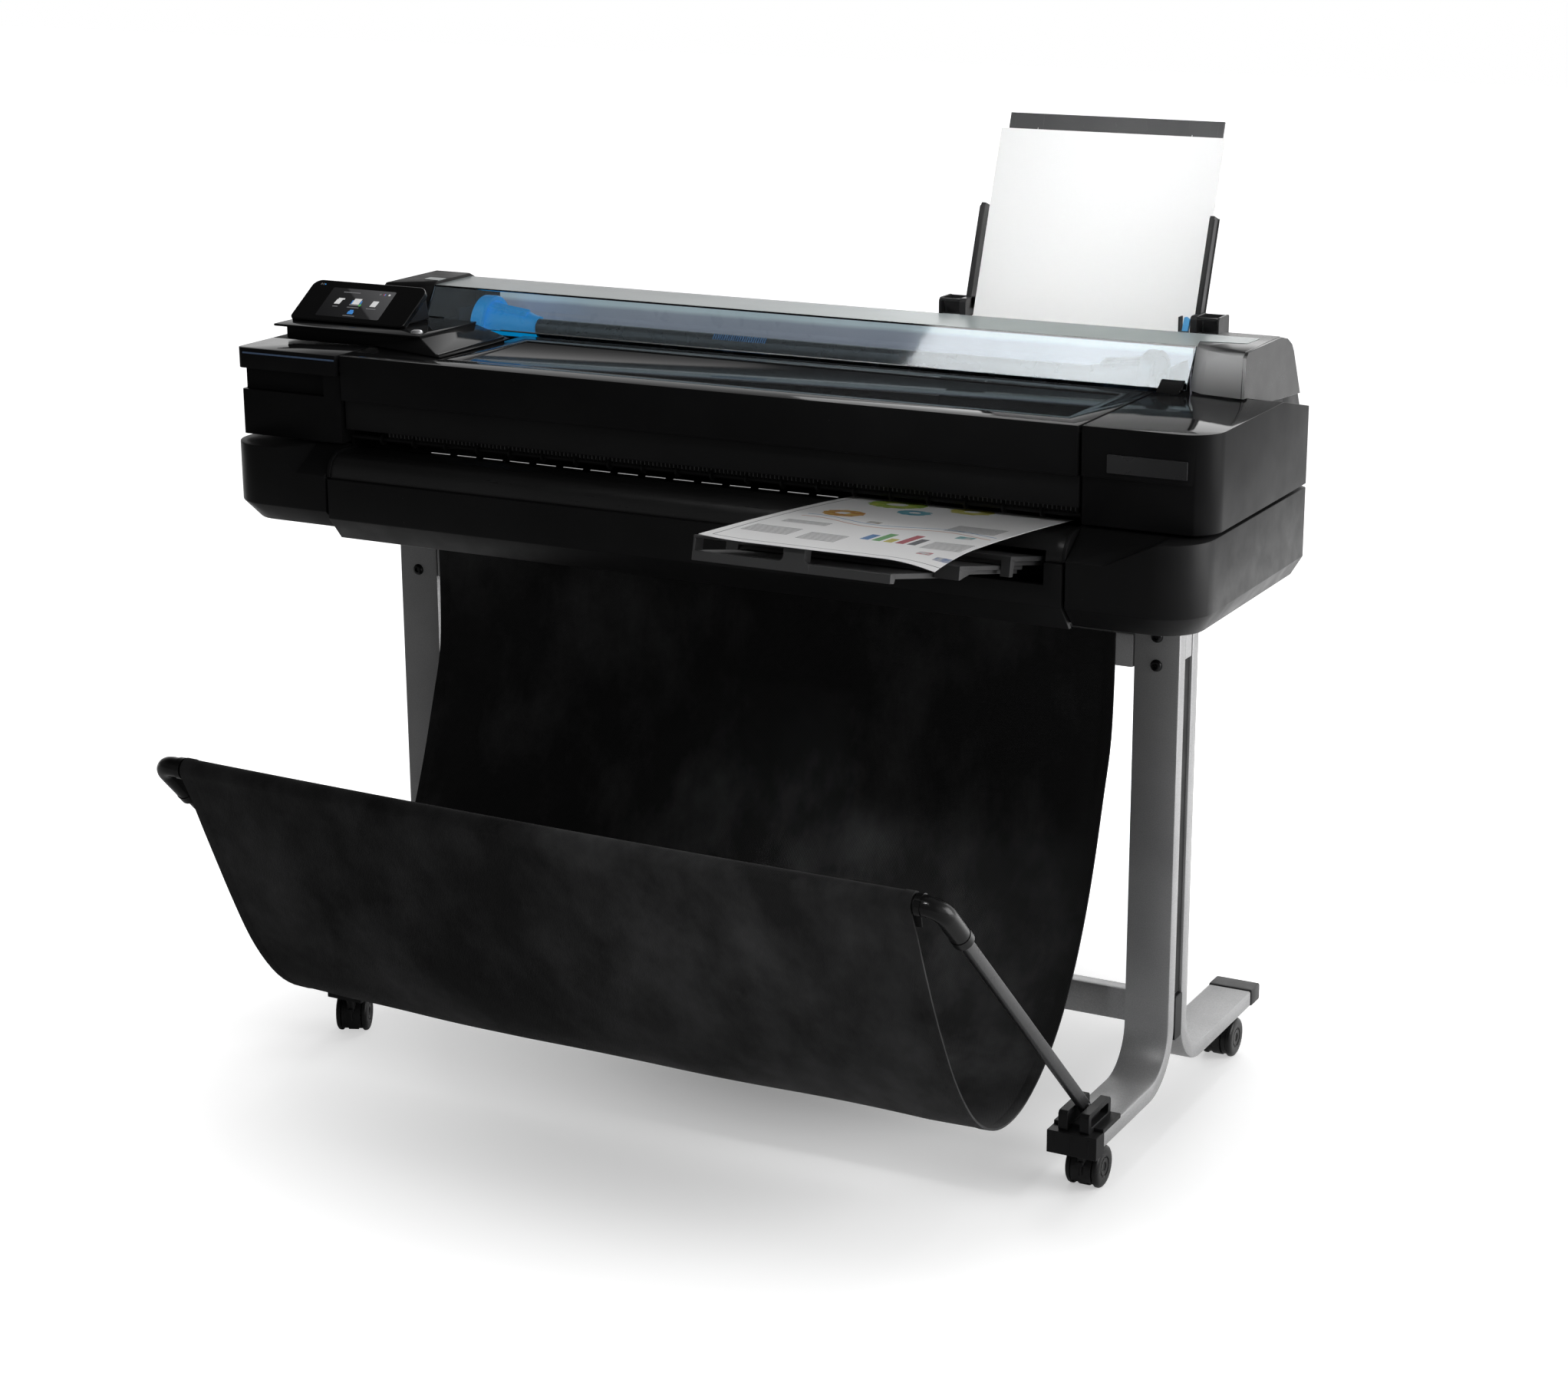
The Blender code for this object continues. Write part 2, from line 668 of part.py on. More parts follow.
def make_bin():
    corner_z = BAR_Z
    arm = Vector((0.0, PIVOT_Y - BAR_Y, PIVOT_Z - corner_z))
    reach = arm.length
    along = arm.normalized()
    tilt = math.atan2(along.z, along.y)
    for side, name, bar_end in ((-1, "left", BAR_LEFT_X), (1, "right", BAR_RIGHT_X)):
        corner = Vector((side * LEG_X, BAR_Y, corner_z))
        inward = Vector((-side, 0.0, 0.0))
        start = Vector((bar_end + side * GAP, BAR_Y, corner_z))
        bend_steps = 6
        bend = []
        for step in range(bend_steps + 1):
            angle = math.pi / 2 * step / bend_steps
            ahead = along * (1 - math.cos(angle)) + inward * (1 - math.sin(angle))
            bend.append(corner + ahead * ELBOW_BEND_R)
        elbow = tube([start] + bend + [corner + along * ELBOW_L], ELBOW_R)
        flat = box((-ARM_T / 2, ELBOW_L - ELBOW_BEND_R / 2, -ARM_W / 2), (ARM_T / 2, reach + ARM_W / 4, ARM_W / 2))
        flat.data.transform(Matrix.Translation(corner) @ Matrix.Rotation(tilt, 4, "X"))
        pin_half = BRACKET_SLOT / 2 - GAP
        pin = prism(arc((PIVOT_Y, PIVOT_Z), PIN_R, 0, 330, 11), "X", side * LEG_X - pin_half, side * LEG_X + pin_half)
        part(join(elbow, flat, pin), name + "_bin_arm", DARK_METAL, (side * LEG_X, PIVOT_Y, PIVOT_Z))
    bar = turned(((0.0, BAR_RIGHT_X), (BAR_R, BAR_RIGHT_X), (BAR_R, BAR_LEFT_X), (0.0, BAR_LEFT_X)),
                 (0.0, BAR_Y, BAR_Z), steps=16)
    part(bar, "bin_bar", DARK_METAL)
    make_cloth()


def make_cloth():
    """The hung cloth: from the upper beam down in a sag, up to the bar and round it as a sleeve."""
    hem_y = FRONT_BAR_Y - LEG_T / 2 - GAP - CLOTH_T / 2
    path = [(hem_y, BEAM_Z + BEAM_H - GAP), (hem_y, BEAM_Z)] + list(CLOTH_SAG)
    path += arc((BAR_Y, BAR_Z), CLOTH_SLEEVE_R, 18, 292, 14)
    work = bmesh.new()
    rows = []
    for row in range(CLOTH_ROWS + 1):
        x = CLOTH_LEFT_X + (CLOTH_RIGHT_X - CLOTH_LEFT_X) * row / CLOTH_ROWS
        rows.append([work.verts.new((x, y, z)) for y, z in path])
    for first, second in zip(rows, rows[1:]):
        for i in range(len(path) - 1):
            work.faces.new((first[i], second[i], second[i + 1], first[i + 1]))
    mesh = bpy.data.meshes.new("cloth")
    work.to_mesh(mesh)
    work.free()
    made = add_mesh(mesh)
    thick = made.modifiers.new("thickness", "SOLIDIFY")
    thick.thickness = CLOTH_T
    thick.offset = 0.0
    part(made, "bin_cloth", CLOTH)


# Casing


def end_outline(front_y, half_w, corner_r, inset=0.0, rear_w=REAR_HALF_W):
    """The plan of a right end cover: rounded front corner and a drawn-in rear."""
    inner = SEAM_X + inset
    outer = half_w - inset
    return rounded((
        (inner, COVER_REAR_Y - inset, 0.0),
        (inner, front_y + inset, 0.0),
        (outer, front_y + inset, corner_r - inset),
        (outer, SIDE_REAR_Y, 0.0),
        (rear_w - inset, COVER_REAR_Y - inset, 0.0),
    ), steps=12)


def make_lower_cover(name, side, rise, corner_r, rear_w, floor_z):
    """A lower end cover: chamfered underneath, with its front top edge scooped towards the middle."""
    plan = end_outline(LOW_FRONT_Y, HALF_W, corner_r, rear_w=rear_w)
    belly = end_outline(LOW_FRONT_Y + LOW_CHAMFER, HALF_W - LOW_CHAMFER * 0.6, corner_r - LOW_CHAMFER / 2,
                        rear_w=rear_w)
    levels = ((belly, floor_z), (plan, floor_z + LOW_CHAMFER), (plan, LOW_TOP_Z))
    made = loft([[(side * x, y, z) for x, y in shape] for shape, z in levels])
    slope = SCOOP_DROP / (LOW_PROUD + COVER_GAP)
    run = 0.02
    rear_y = FRONT_Y + COVER_GAP
    stations = ((SEAM_X - run, 1.0), (SEAM_X + rise[0], 1.0), (SEAM_X + rise[1], 0.0), (HALF_W + run, 0.0))
    sections = []
    for x, depth in stations:
        front_z = LOW_TOP_Z + GAP - depth * slope * (rear_y - LOW_FRONT_Y + run)
        sections.append([(side * x, LOW_FRONT_Y - run, front_z), (side * x, rear_y, LOW_TOP_Z + GAP),
                         (side * x, rear_y, LOW_TOP_Z + run), (side * x, LOW_FRONT_Y - run, LOW_TOP_Z + run)])
    hollow = sorted((side * (SEAM_X - run), side * (HALF_W - LOW_CHAMFER)))
    inside = box((hollow[0], FRONT_Y + LOW_CHAMFER, floor_z + WALL),
                 (hollow[1], SIDE_REAR_Y, LOW_TOP_Z + run))
    made = cut(made, loft(sections), inside)
    if floor_z > BODY_Z:
        half_d = LEG_SPACE / 2 + LEG_T
        pad = sorted((side * (SEAM_X + SEAM), side * (LEG_X + LEG_W / 2)))
        made = join(made, box((pad[0], LEG_MIDDLE_Y - half_d, BODY_Z),
                              (pad[1], LEG_MIDDLE_Y + half_d, floor_z + WALL / 2)))
    part(bevel(made, FINE_EDGE_R), name, SATIN_BLACK)


def make_right_upper_cover():
    """The right cover: its lower front is stepped back, and its outer rear corner falls away."""
    run = 0.02
    plan = end_outline(FRONT_Y, HALF_W, UP_CORNER_R)
    made = prism(plan, "Z", UP_Z, DECK_Z)
    step = box((SEAM_X - run, FRONT_Y - run, UP_Z - run), (HALF_W + run, FRONT_Y + STEP_IN, STEP_Z))
    inside_plan = end_outline(FRONT_Y + STEP_IN, HALF_W, UP_CORNER_R, WALL)
    inside = prism(inside_plan, "Z", UP_Z - run, DECK_Z - DECK_T)
    tail_y = COVER_REAR_Y + run
    tail = prism(((0.0, DECK_Z), (tail_y, DECK_Z - tail_y * TAIL_FALL), (tail_y, DECK_Z + run),
                  (0.0, DECK_Z + run)), "X", REAR_HALF_W + EDGE_R, HALF_W + run)
    part(bevel(cut(made, step, inside, tail), FINE_EDGE_R), "right_upper_cover", SATIN_BLACK)


def make_left_upper_cover():
    """The left cover has the ink bay, open on top, and a finger scoop under the ink cover's lip."""
    sink = 0.001
    plan = mirror_x(end_outline(FRONT_Y, HALF_W - SIDE_INSET, LEFT_UP_CORNER_R, rear_w=-REAR_LEFT_X))
    made = prism(plan, "Z", UP_Z, INK_LIP_Z - GAP)
    deck_plan = ((-HALF_W, INK_COVER_REAR_Y + GAP), (-SEAM_X, INK_COVER_REAR_Y + GAP), (-SEAM_X, COVER_REAR_Y),
                 (REAR_LEFT_X, COVER_REAR_Y), (-HALF_W, SIDE_REAR_Y))
    deck = prism(deck_plan, "Z", INK_LIP_Z - sink, DECK_Z)
    bay = box((-HALF_W + SIDE_INSET + 2 * WALL, INK_BAY_FRONT_Y, INK_BAY_FLOOR_Z),
              (-SEAM_X - WALL, INK_BAY_REAR_Y, DECK_Z))
    rear_room = box((-HALF_W + SIDE_INSET + 2 * WALL, INK_BAY_REAR_Y + WALL, UP_Z - sink),
                    (-SEAM_X - WALL, SIDE_REAR_Y, DECK_Z - WALL))
    scoop = box((-HALF_W, FRONT_Y - sink, INK_LIP_Z - SCOOP_H), (-SCOOP_END_X, FRONT_Y + SCOOP_D, DECK_Z))
    part(bevel(cut(join(made, deck), bay, rear_room, scoop), FINE_EDGE_R), "left_upper_cover", SATIN_BLACK)


def make_ink():
    """The ink cover with its front and side lips, and the tanks in the bay under it."""
    lip_y = FRONT_Y - 2 * LID_PROUD
    right = -SEAM_X - GAP
    made = prism(((INK_COVER_REAR_Y, DECK_Z), (lip_y, DECK_Z), (lip_y, INK_LIP_Z), (FRONT_Y - GAP, INK_LIP_Z),
                  (FRONT_Y - GAP, DECK_Z - LID_T), (INK_COVER_REAR_Y, DECK_Z - LID_T)), "X", -HALF_W, right)
    side_lip = box((-HALF_W, lip_y + 0.001, INK_LIP_Z), (-HALF_W + SIDE_INSET - GAP, INK_COVER_REAR_Y, DECK_Z - 0.001))
    over = 0.005
    turn_x, turn_y = -HALF_W + INK_CORNER_R, lip_y + INK_CORNER_R
    corner = [(-HALF_W - over, turn_y), (-HALF_W - over, lip_y - over), (turn_x, lip_y - over)]
    corner += arc((turn_x, turn_y), INK_CORNER_R, 270, 180, 8)
    corner_cut = prism(corner, "Z", INK_LIP_Z - over, DECK_Z + over)
    part(bevel(cut(join(made, side_lip), corner_cut), FINE_EDGE_R), "ink_cover", GLOSS_BLACK,
         (0.0, INK_COVER_REAR_Y, DECK_Z))
    low_x = -HALF_W + SIDE_INSET + 2 * WALL
    pitch = (-SEAM_X - WALL - low_x) / INK_COUNT
    for index, name in enumerate(("cyan", "magenta", "yellow", "black")):
        left = low_x + index * pitch
        tank = box((left + GAP, INK_BAY_FRONT_Y + GAP, INK_BAY_FLOOR_Z + GAP),
                   (left + pitch - GAP, INK_BAY_REAR_Y - GAP, INK_BAY_FLOOR_Z + INK_TANK_H))
        part(bevel(tank, FINE_EDGE_R), "ink_tank_" + name, INKS[index])


def make_lid():
    """The main lid, notched at its left rear for the control base, with a shallow pressed field."""
    front_y = FRONT_Y - LID_PROUD
    wall_y = front_y + 0.007
    made = prism(((LID_REAR_Y, DECK_Z), (front_y, DECK_Z), (front_y, STEP_Z), (wall_y, STEP_Z),
                  (wall_y, DECK_Z - LID_T), (LID_REAR_Y, DECK_Z - LID_T)), "X", -LID_HALF_W, LID_HALF_W)
    over = 0.02
    notch_y = BASE_FRONT_Y - 2 * SEAM
    notch = prism(((-LID_HALF_W - over, notch_y), (-SEAM_X, notch_y), (RAMP_FOOT_X + SEAM, BASE_FOOT_Y - SEAM),
                   (RAMP_FOOT_X + SEAM, LID_REAR_Y + over), (-LID_HALF_W - over, LID_REAR_Y + over)),
                  "Z", STEP_Z - over, DECK_Z + over)
    field_depth = 0.0015
    margin_x, margin_front, margin_rear = 0.030, 0.043, 0.034
    field = box((RAMP_FOOT_X + margin_x, front_y + margin_front, DECK_Z - field_depth),
                (LID_HALF_W - margin_x, LID_REAR_Y - margin_rear, DECK_Z + over))
    part(bevel(cut(made, notch, field), FINE_EDGE_R), "main_lid", GLOSS_BLACK,
         (0.0, LID_REAR_Y - GAP * 10, DECK_Z - LID_T / 2))


def make_front():
    """The strip under the lid, the rounded nose the prints run over and the lower front panel."""
    half = LID_HALF_W
    fascia = box((-half, FASCIA_Y, FASCIA_Z), (half, PLATE_FRONT_Y - GAP, STEP_Z - GAP * 2))
    part(bevel(fascia, FINE_EDGE_R), "front_fascia", SATIN_BLACK)
    nose_half = PLATE_IN_X - GAP
    rear_y = PLATEN_FRONT_Y - GAP
    radius = NOSE_TOP_Z - NOSE_FOOT_Z - 0.003
    nose = rounded(((rear_y, NOSE_FOOT_Z, 0.0), (rear_y, NOSE_TOP_Z, 0.0),
                    (NOSE_FRONT_Y, NOSE_TOP_Z, radius), (NOSE_FRONT_Y, NOSE_FOOT_Z, 0.0)), steps=14)
    wall = 0.0075
    mouth = [box((TRAY_RIGHT_X - TRAY_W - MOUTH_MARGIN, LOW_FRONT_Y - wall, MOUTH_Z),
                 (TRAY_RIGHT_X + MOUTH_MARGIN, PLATEN_FRONT_Y + wall, MOUTH_TOP_Z)) for _ in range(2)]
    part(cut(prism(nose, "X", -nose_half, nose_half), mouth[0]), "output_nose", SATIN_BLACK)
    top_z = NOSE_FOOT_Z - GAP
    crease_z = BODY_Z + LOW_CHAMFER
    panel = prism(((LOW_FRONT_Y + wall, top_z), (LOW_FRONT_Y, top_z), (LOW_FRONT_Y, crease_z),
                   (LOW_FRONT_Y + LOW_CHAMFER, BODY_Z), (LOW_FRONT_Y + LOW_CHAMFER + wall, BODY_Z),
                   (LOW_FRONT_Y + wall, crease_z + wall / 2)), "X", -half, half)
    part(bevel(cut(panel, mouth[1]), FINE_EDGE_R), "lower_front_panel", SATIN_BLACK)


def lean(up, out):
    """A (y, z) place in the sheet feeder: up along its lean, and out towards the front."""
    s, c = math.sin(FEED_LEAN), math.cos(FEED_LEAN)
    return (FEED_Y + up * s - out * c, FEED_Z + up * c + out * s)


def leaning_slab(low_x, high_x, low_up, high_up, low_out, high_out):
    outline = (lean(low_up, low_out), lean(high_up, low_out), lean(high_up, high_out), lean(low_up, high_out))
    return prism(outline, "X", low_x, high_x)


def make_rear_cover():
    made = prism(((REAR_FRONT_Y, BODY_Z), (REAR_Y, BODY_Z), (REAR_Y, REAR_SHOULDER_Z),
                  (REAR_FRONT_Y + REAR_BROW_D, REAR_BROW_Z), (REAR_FRONT_Y + REAR_DECK_D, REAR_DECK_Z),
                  (REAR_FRONT_Y, REAR_DECK_Z)), "X", REAR_LEFT_X, REAR_HALF_W)
    slot = leaning_slab(STACK_LEFT_X - SLOT_MARGIN_X, STACK_LEFT_X + STACK_W + SLOT_MARGIN_X,
                        -SUPPORT_DOWN - GAP, SUPPORT_UP, -SLOT_BACK, SLOT_FRONT)
    run_out = leaning_slab(STACK_LEFT_X - SLOT_MARGIN_X, STACK_LEFT_X + STACK_W + SLOT_MARGIN_X,
                           STACK_UP - STACK_L - SLOT_BACK, -SUPPORT_DOWN, -STACK_T - GAP, SLOT_FRONT)
    over = 0.01
    hollow = box((REAR_LEFT_X + WALL, REAR_FRONT_Y - over, BODY_Z + WALL),
                 (REAR_HALF_W - WALL, REAR_Y - WALL, REAR_HOLLOW_TOP_Z))
    inlet_low = (INLET_X, REAR_Y - INLET_D, INLET_Z)
    inlet_high = (INLET_X + INLET_W, REAR_Y + over, INLET_Z + INLET_H)
    socket = box((inlet_low[0] - WALL, inlet_low[1] - WALL, inlet_low[2] - WALL),
                 (inlet_high[0] + WALL, REAR_Y - WALL / 2, inlet_high[2] + WALL))
    made = cut(made, slot, run_out, hollow)
    made = cut(join(made, socket), box(inlet_low, inlet_high))
    part(bevel(made, FINE_EDGE_R), "rear_cover", SATIN_BLACK)


def make_end_caps():
    """The two caps beside the roll cover, which swell forward from the cover's own section."""
    inner = COVER_HALF_W + SEAM
    middle = inner + 0.020
    floor = DECK_Z + GAP
    rear = COVER_REAR_Y
    top = CAP_TOP_Z
    shoulder = top - 0.006
    crown = COVER_REAR_EDGE_Y

    def section(x, foot, brow, brow_z):
        return [(x, rear, floor), (x, rear, shoulder), (x, crown, top), (x, brow + 0.008, top),
                (x, brow, brow_z), (x, foot, floor)]

    for side, name, outer in ((-1, "left", REAR_LEFT_X), (1, "right", REAR_HALF_W)):
        sections = [
            section(side * inner, COVER_FOOT_Y + 0.012, COVER_CREASE_Y - 0.002, top - 0.005),
            section(side * middle, COVER_FOOT_Y - 0.004, COVER_CREASE_Y - 0.018, top - 0.005),
            section(outer, CAP_FRONT_Y, CAP_FRONT_Y + 0.004, top - 0.006),
        ]
        part(bevel(loft(sections), FINE_EDGE_R), name + "_end_cap", SATIN_BLACK)


def make_roll_cover():
    foot = (COVER_FOOT_Y + COVER_T / 2, DECK_Z + COVER_T / 2)
    path = [foot, (COVER_CREASE_Y, COVER_TOP_Z - COVER_T / 2), (COVER_REAR_EDGE_Y, COVER_TOP_Z - COVER_T / 2)]
    strip = ribbon(path, COVER_T)
    made = prism(strip, "X", -COVER_HALF_W, COVER_HALF_W)
    part(made, "roll_cover", SMOKED_CLEAR, (0.0, COVER_REAR_EDGE_Y, COVER_TOP_Z - COVER_T / 2))


def make_chassis():
    """Base pan, end plates, print platen and roll tub in one welded frame."""
    sink = 0.001
    half = PLATE_IN_X + sink
    pan_front = LOW_FRONT_Y + LOW_CHAMFER + 0.012
    pan_rear = COVER_REAR_Y - WALL
    mid = BODY_Z + WALL / 2
    pan = prism(ribbon(((pan_front, mid), (pan_rear, mid), (pan_rear, mid + 0.066)), WALL), "X", -half, half)
    platen = box((-half, PLATEN_FRONT_Y, PLATEN_Z - PLATEN_T), (half, PLATEN_REAR_Y, PLATEN_Z))
    tub_path = arc((ROLL_Y, ROLL_Z), TUB_R + TUB_T / 2, 183, 357, 12)
    tub = prism(ribbon(tub_path, TUB_T), "X", -half, half)
    top = DECK_Z - LID_T - 2 * WALL / 4
    holder = ROLL_Z + SPINDLE_R * 1.8
    plate = ((PLATE_FRONT_Y, BODY_Z), (pan_rear, BODY_Z), (pan_rear, top), (ROLL_Y + SPINDLE_R * 3, top),
             (ROLL_Y + SPINDLE_R * 2.4, holder), (ROLL_Y - SPINDLE_R * 2.4, holder),
             (ROLL_Y - SPINDLE_R * 3, top), (PLATE_FRONT_Y, top))
    rest = box((-half, LID_REAR_Y - LID_REST_D, DECK_Z - LID_T - LID_REST_H),
               (half, LID_REAR_Y - LID_REST_H / 2, DECK_Z - LID_T - GAP))
    left = prism(plate, "X", -PLATE_IN_X - PLATE_T, -PLATE_IN_X)
    right = prism(plate, "X", PLATE_IN_X, PLATE_IN_X + PLATE_T)
    part(join(left, pan, platen, tub, rest, right), "chassis", MATT_BLACK)


# Controls


def make_controls():
    floor = DECK_Z + GAP
    left = BASE_LEFT_X + BASE_UNDERCUT
    front = BASE_FRONT_Y + EDGE_R
    neck = BASE_TOP_Z - FLANGE_T / 2
    base = loft([
        [(left, front, floor), (-SEAM_X, front, floor), (RAMP_FOOT_X, BASE_FOOT_Y, floor),
         (RAMP_FOOT_X, BASE_REAR_Y, floor), (left, BASE_REAR_Y, floor)],
        [(left, front, neck), (-SEAM_X, front, neck), (RAMP_TOP_X, front, neck),
         (RAMP_TOP_X, BASE_REAR_Y, neck), (left, BASE_REAR_Y, neck)],
    ])
    flange = bevel(box((BASE_LEFT_X, BASE_FRONT_Y, BASE_TOP_Z - FLANGE_T),
                       (RAMP_TOP_X + EDGE_R, BASE_REAR_Y + EDGE_R, BASE_TOP_Z)), FINE_EDGE_R / 2)
    inset = 2 * EDGE_R
    skirt_outline = ((-SEAM_X + SEAM, front + inset), (RAMP_FOOT_X - inset, BASE_FOOT_Y + inset),
                     (RAMP_FOOT_X - inset, BASE_REAR_Y - inset), (-SEAM_X + SEAM, BASE_REAR_Y - inset))
    skirt = prism(skirt_outline, "Z", DECK_Z - LID_T, floor + EDGE_R)
    well_floor = BASE_TOP_Z - BUTTON_PROUD - 2 * BUTTON_STROKE
    well = prism(arc((BUTTON_X, BUTTON_Y), BUTTON_R + GAP, 0, 345, 23), "Z", well_floor, BASE_TOP_Z + BUTTON_R)
    part(cut(join(bevel(base, FINE_EDGE_R), flange, skirt), well), "control_base", SATIN_BLACK)
    button = prism(arc((BUTTON_X, BUTTON_Y), BUTTON_R, 0, 345, 23), "Z", well_floor + BUTTON_STROKE + 2 * GAP,
                   BASE_TOP_Z + BUTTON_PROUD)
    part(bevel(button, FINE_EDGE_R), "power_button", STEEL, (BUTTON_X, BUTTON_Y, BASE_TOP_Z))
    seat = BASE_TOP_Z + GAP
    panel = prism(((PANEL_FRONT_Y, seat), (PANEL_FRONT_Y, seat + 0.002), (PANEL_TOP_Y, PANEL_TOP_Z),
                   (PANEL_TOP_Y + PANEL_CREST, PANEL_TOP_Z), (PANEL_REAR_Y, seat)),
                  "X", BASE_LEFT_X, PANEL_RIGHT_X)
    part(bevel(panel, FINE_EDGE_R), "control_panel", GLOSS_BLACK)


# Print mechanism and roll


def make_mechanism():
    span = PLATE_IN_X - GAP
    rail = box((-span, RAIL_Y - RAIL_D / 2, RAIL_Z), (span, RAIL_Y + RAIL_D / 2, RAIL_Z + RAIL_H))
    belt_z = RAIL_Z + RAIL_H + GAP
    sink = 0.001
    idler = prism(arc((-PULLEY_X, RAIL_Y), PULLEY_R, 0, 340, 17), "Z", belt_z - sink, belt_z + BELT_H)
    motor = prism(arc((PULLEY_X, RAIL_Y), MOTOR_R, 0, 345, 23), "Z", RAIL_Z - MOTOR_H, RAIL_Z + sink)
    part(join(rail, idler, motor), "carriage_rail", STEEL)
    pulley = prism(arc((PULLEY_X, RAIL_Y), PULLEY_R, 0, 340, 17), "Z", belt_z, belt_z + BELT_H)
    part(pulley, "belt_pulley", STEEL, (PULLEY_X, RAIL_Y, belt_z))
    inner = PULLEY_R + GAP
    loops = []
    for radius in (inner + BELT_T, inner):
        loops.append(arc((PULLEY_X, RAIL_Y), radius, -90, 90, 10) + arc((-PULLEY_X, RAIL_Y), radius, 90, 270, 10))
    belt = prism(loops[0], "Z", belt_z, belt_z + BELT_H)
    part(cut(belt, prism(loops[1], "Z", belt_z - sink, belt_z + BELT_H + sink)), "carriage_belt", RUBBER)
    front = RAIL_Y - RAIL_D / 2 - GAP
    carriage_z = PLATEN_Z + 0.016
    carriage = box((CARRIAGE_X - CARRIAGE_W / 2, front - CARRIAGE_D, carriage_z),
                   (CARRIAGE_X + CARRIAGE_W / 2, front, carriage_z + CARRIAGE_H))
    part(bevel(carriage), "carriage", MATT_BLACK, (CARRIAGE_X, front, carriage_z))
    feed_y = PLATEN_REAR_Y + FEED_R + 0.003
    feed = turned(((0.0, span), (FEED_R, span), (FEED_R, -span), (0.0, -span)),
                  (0.0, feed_y, PLATEN_Z - FEED_R), steps=20)
    part(feed, "feed_roller", RUBBER)
    part(turned(star_profile(span), (0.0, STAR_Y, STAR_Z), steps=10), "star_wheel_shaft", STEEL)
    board_x = SEAM_X + WALL
    board = box((board_x, FRONT_Y + LOW_CHAMFER + WALL, BODY_Z + WALL + GAP),
                (HALF_W - LOW_CHAMFER - WALL, SIDE_REAR_Y - WALL, BODY_Z + WALL + GAP + BOARD_T))
    part(board, "main_board", BOARD)


def star_profile(span):
    """A thin shaft with evenly spaced discs, as (radius, x) from one end to the other."""
    profile = [(0.0, span), (STAR_SHAFT_R, span)]
    pitch = 2 * span / (STAR_COUNT + 1)
    for index in range(STAR_COUNT):
        middle = span - pitch * (index + 1)
        high, low = middle + STAR_T / 2, middle - STAR_T / 2
        profile += [(STAR_SHAFT_R, high), (STAR_R, high), (STAR_R, low), (STAR_SHAFT_R, low)]
    return profile + [(STAR_SHAFT_R, -span), (0.0, -span)]


def make_roll():
    span = PLATE_IN_X - GAP
    place = (0.0, ROLL_Y, ROLL_Z)
    spindle = ((0.0, span), (SPINDLE_R, span), (SPINDLE_R, -span), (0.0, -span))
    part(turned(spindle, place, steps=20), "spindle", MATT_BLACK)
    bore = SPINDLE_R + GAP
    outer = HUB_X + HUB_FLANGE_T / 2
    face = HUB_X - HUB_FLANGE_T / 2
    tip = face - HUB_ADAPTER_L
    ring = [(bore, outer), (HUB_FLANGE_R - 0.002, outer), (HUB_FLANGE_R, outer - 0.002), (HUB_FLANGE_R, face),
            (HUB_ADAPTER_R, face), (HUB_ADAPTER_R, tip + 0.012), (bore + 0.002, tip), (bore, tip), (bore, outer)]
    part(turned(ring, place), "right_roll_hub", BLUE_PLASTIC)
    mirrored = [(radius, -x) for radius, x in reversed(ring)]
    part(turned(mirrored, place), "left_roll_hub", BLUE_PLASTIC)


# Trays and sheets


def tray_place(along, above):
    """A (y, z) place on the output tray: out along its slope, and square to it."""
    s, c = math.sin(TRAY_SLOPE), math.cos(TRAY_SLOPE)
    return (LOW_FRONT_Y - along * c + above * s, TRAY_Z + along * s + above * c)


def tray_slab(low_x, high_x, low_along, high_along, low, high):
    outline = (tray_place(low_along, low), tray_place(high_along, low), tray_place(high_along, high),
               tray_place(low_along, high))
    return prism(outline, "X", low_x, high_x)


def make_output_tray():
    left = TRAY_RIGHT_X - TRAY_W
    for index, name in enumerate(("inner", "middle", "outer")):
        reach, length, top = TRAY_REACH[index], TRAY_LENGTH[index], TRAY_TOP[index]
        low_x = left + index * TRAY_STEP_X
        high_x = TRAY_RIGHT_X - TRAY_TIP_STEP_X[index]
        made = tray_slab(low_x, high_x, reach - length, reach, top - TRAY_T[index], top)
        if name == "outer":
            lip = tray_slab(low_x + GAP, high_x - GAP, reach - TRAY_LIP_T, reach - GAP, TRAY_LIP_FOOT, TRAY_LIP_TOP)
            made = join(made, lip)
        part(bevel(made, FINE_EDGE_R), "output_tray_" + name, GREY_PLASTIC)
    lip_y, lip_z = tray_place(TRAY_REACH[2], TRAY_LIP_TOP)
    rest_z = lip_z + GAP + PRINT_T
    slope = (rest_z - PRINT_REAR_Z) / (PRINT_REAR_Y - lip_y)
    front_z = rest_z + slope * (lip_y - PRINT_FRONT_Y)
    crown = 0.002
    middle_y = (lip_y + PRINT_REAR_Y) / 2
    path = [(PRINT_REAR_Y, PRINT_REAR_Z), (middle_y, (PRINT_REAR_Z + rest_z) / 2 + crown), (lip_y, rest_z),
            (PRINT_FRONT_Y, front_z)]
    part(prism(ribbon(path, PRINT_T), "X", PRINT_RIGHT_X - PRINT_W, PRINT_RIGHT_X), "printed_sheet", PAPER)


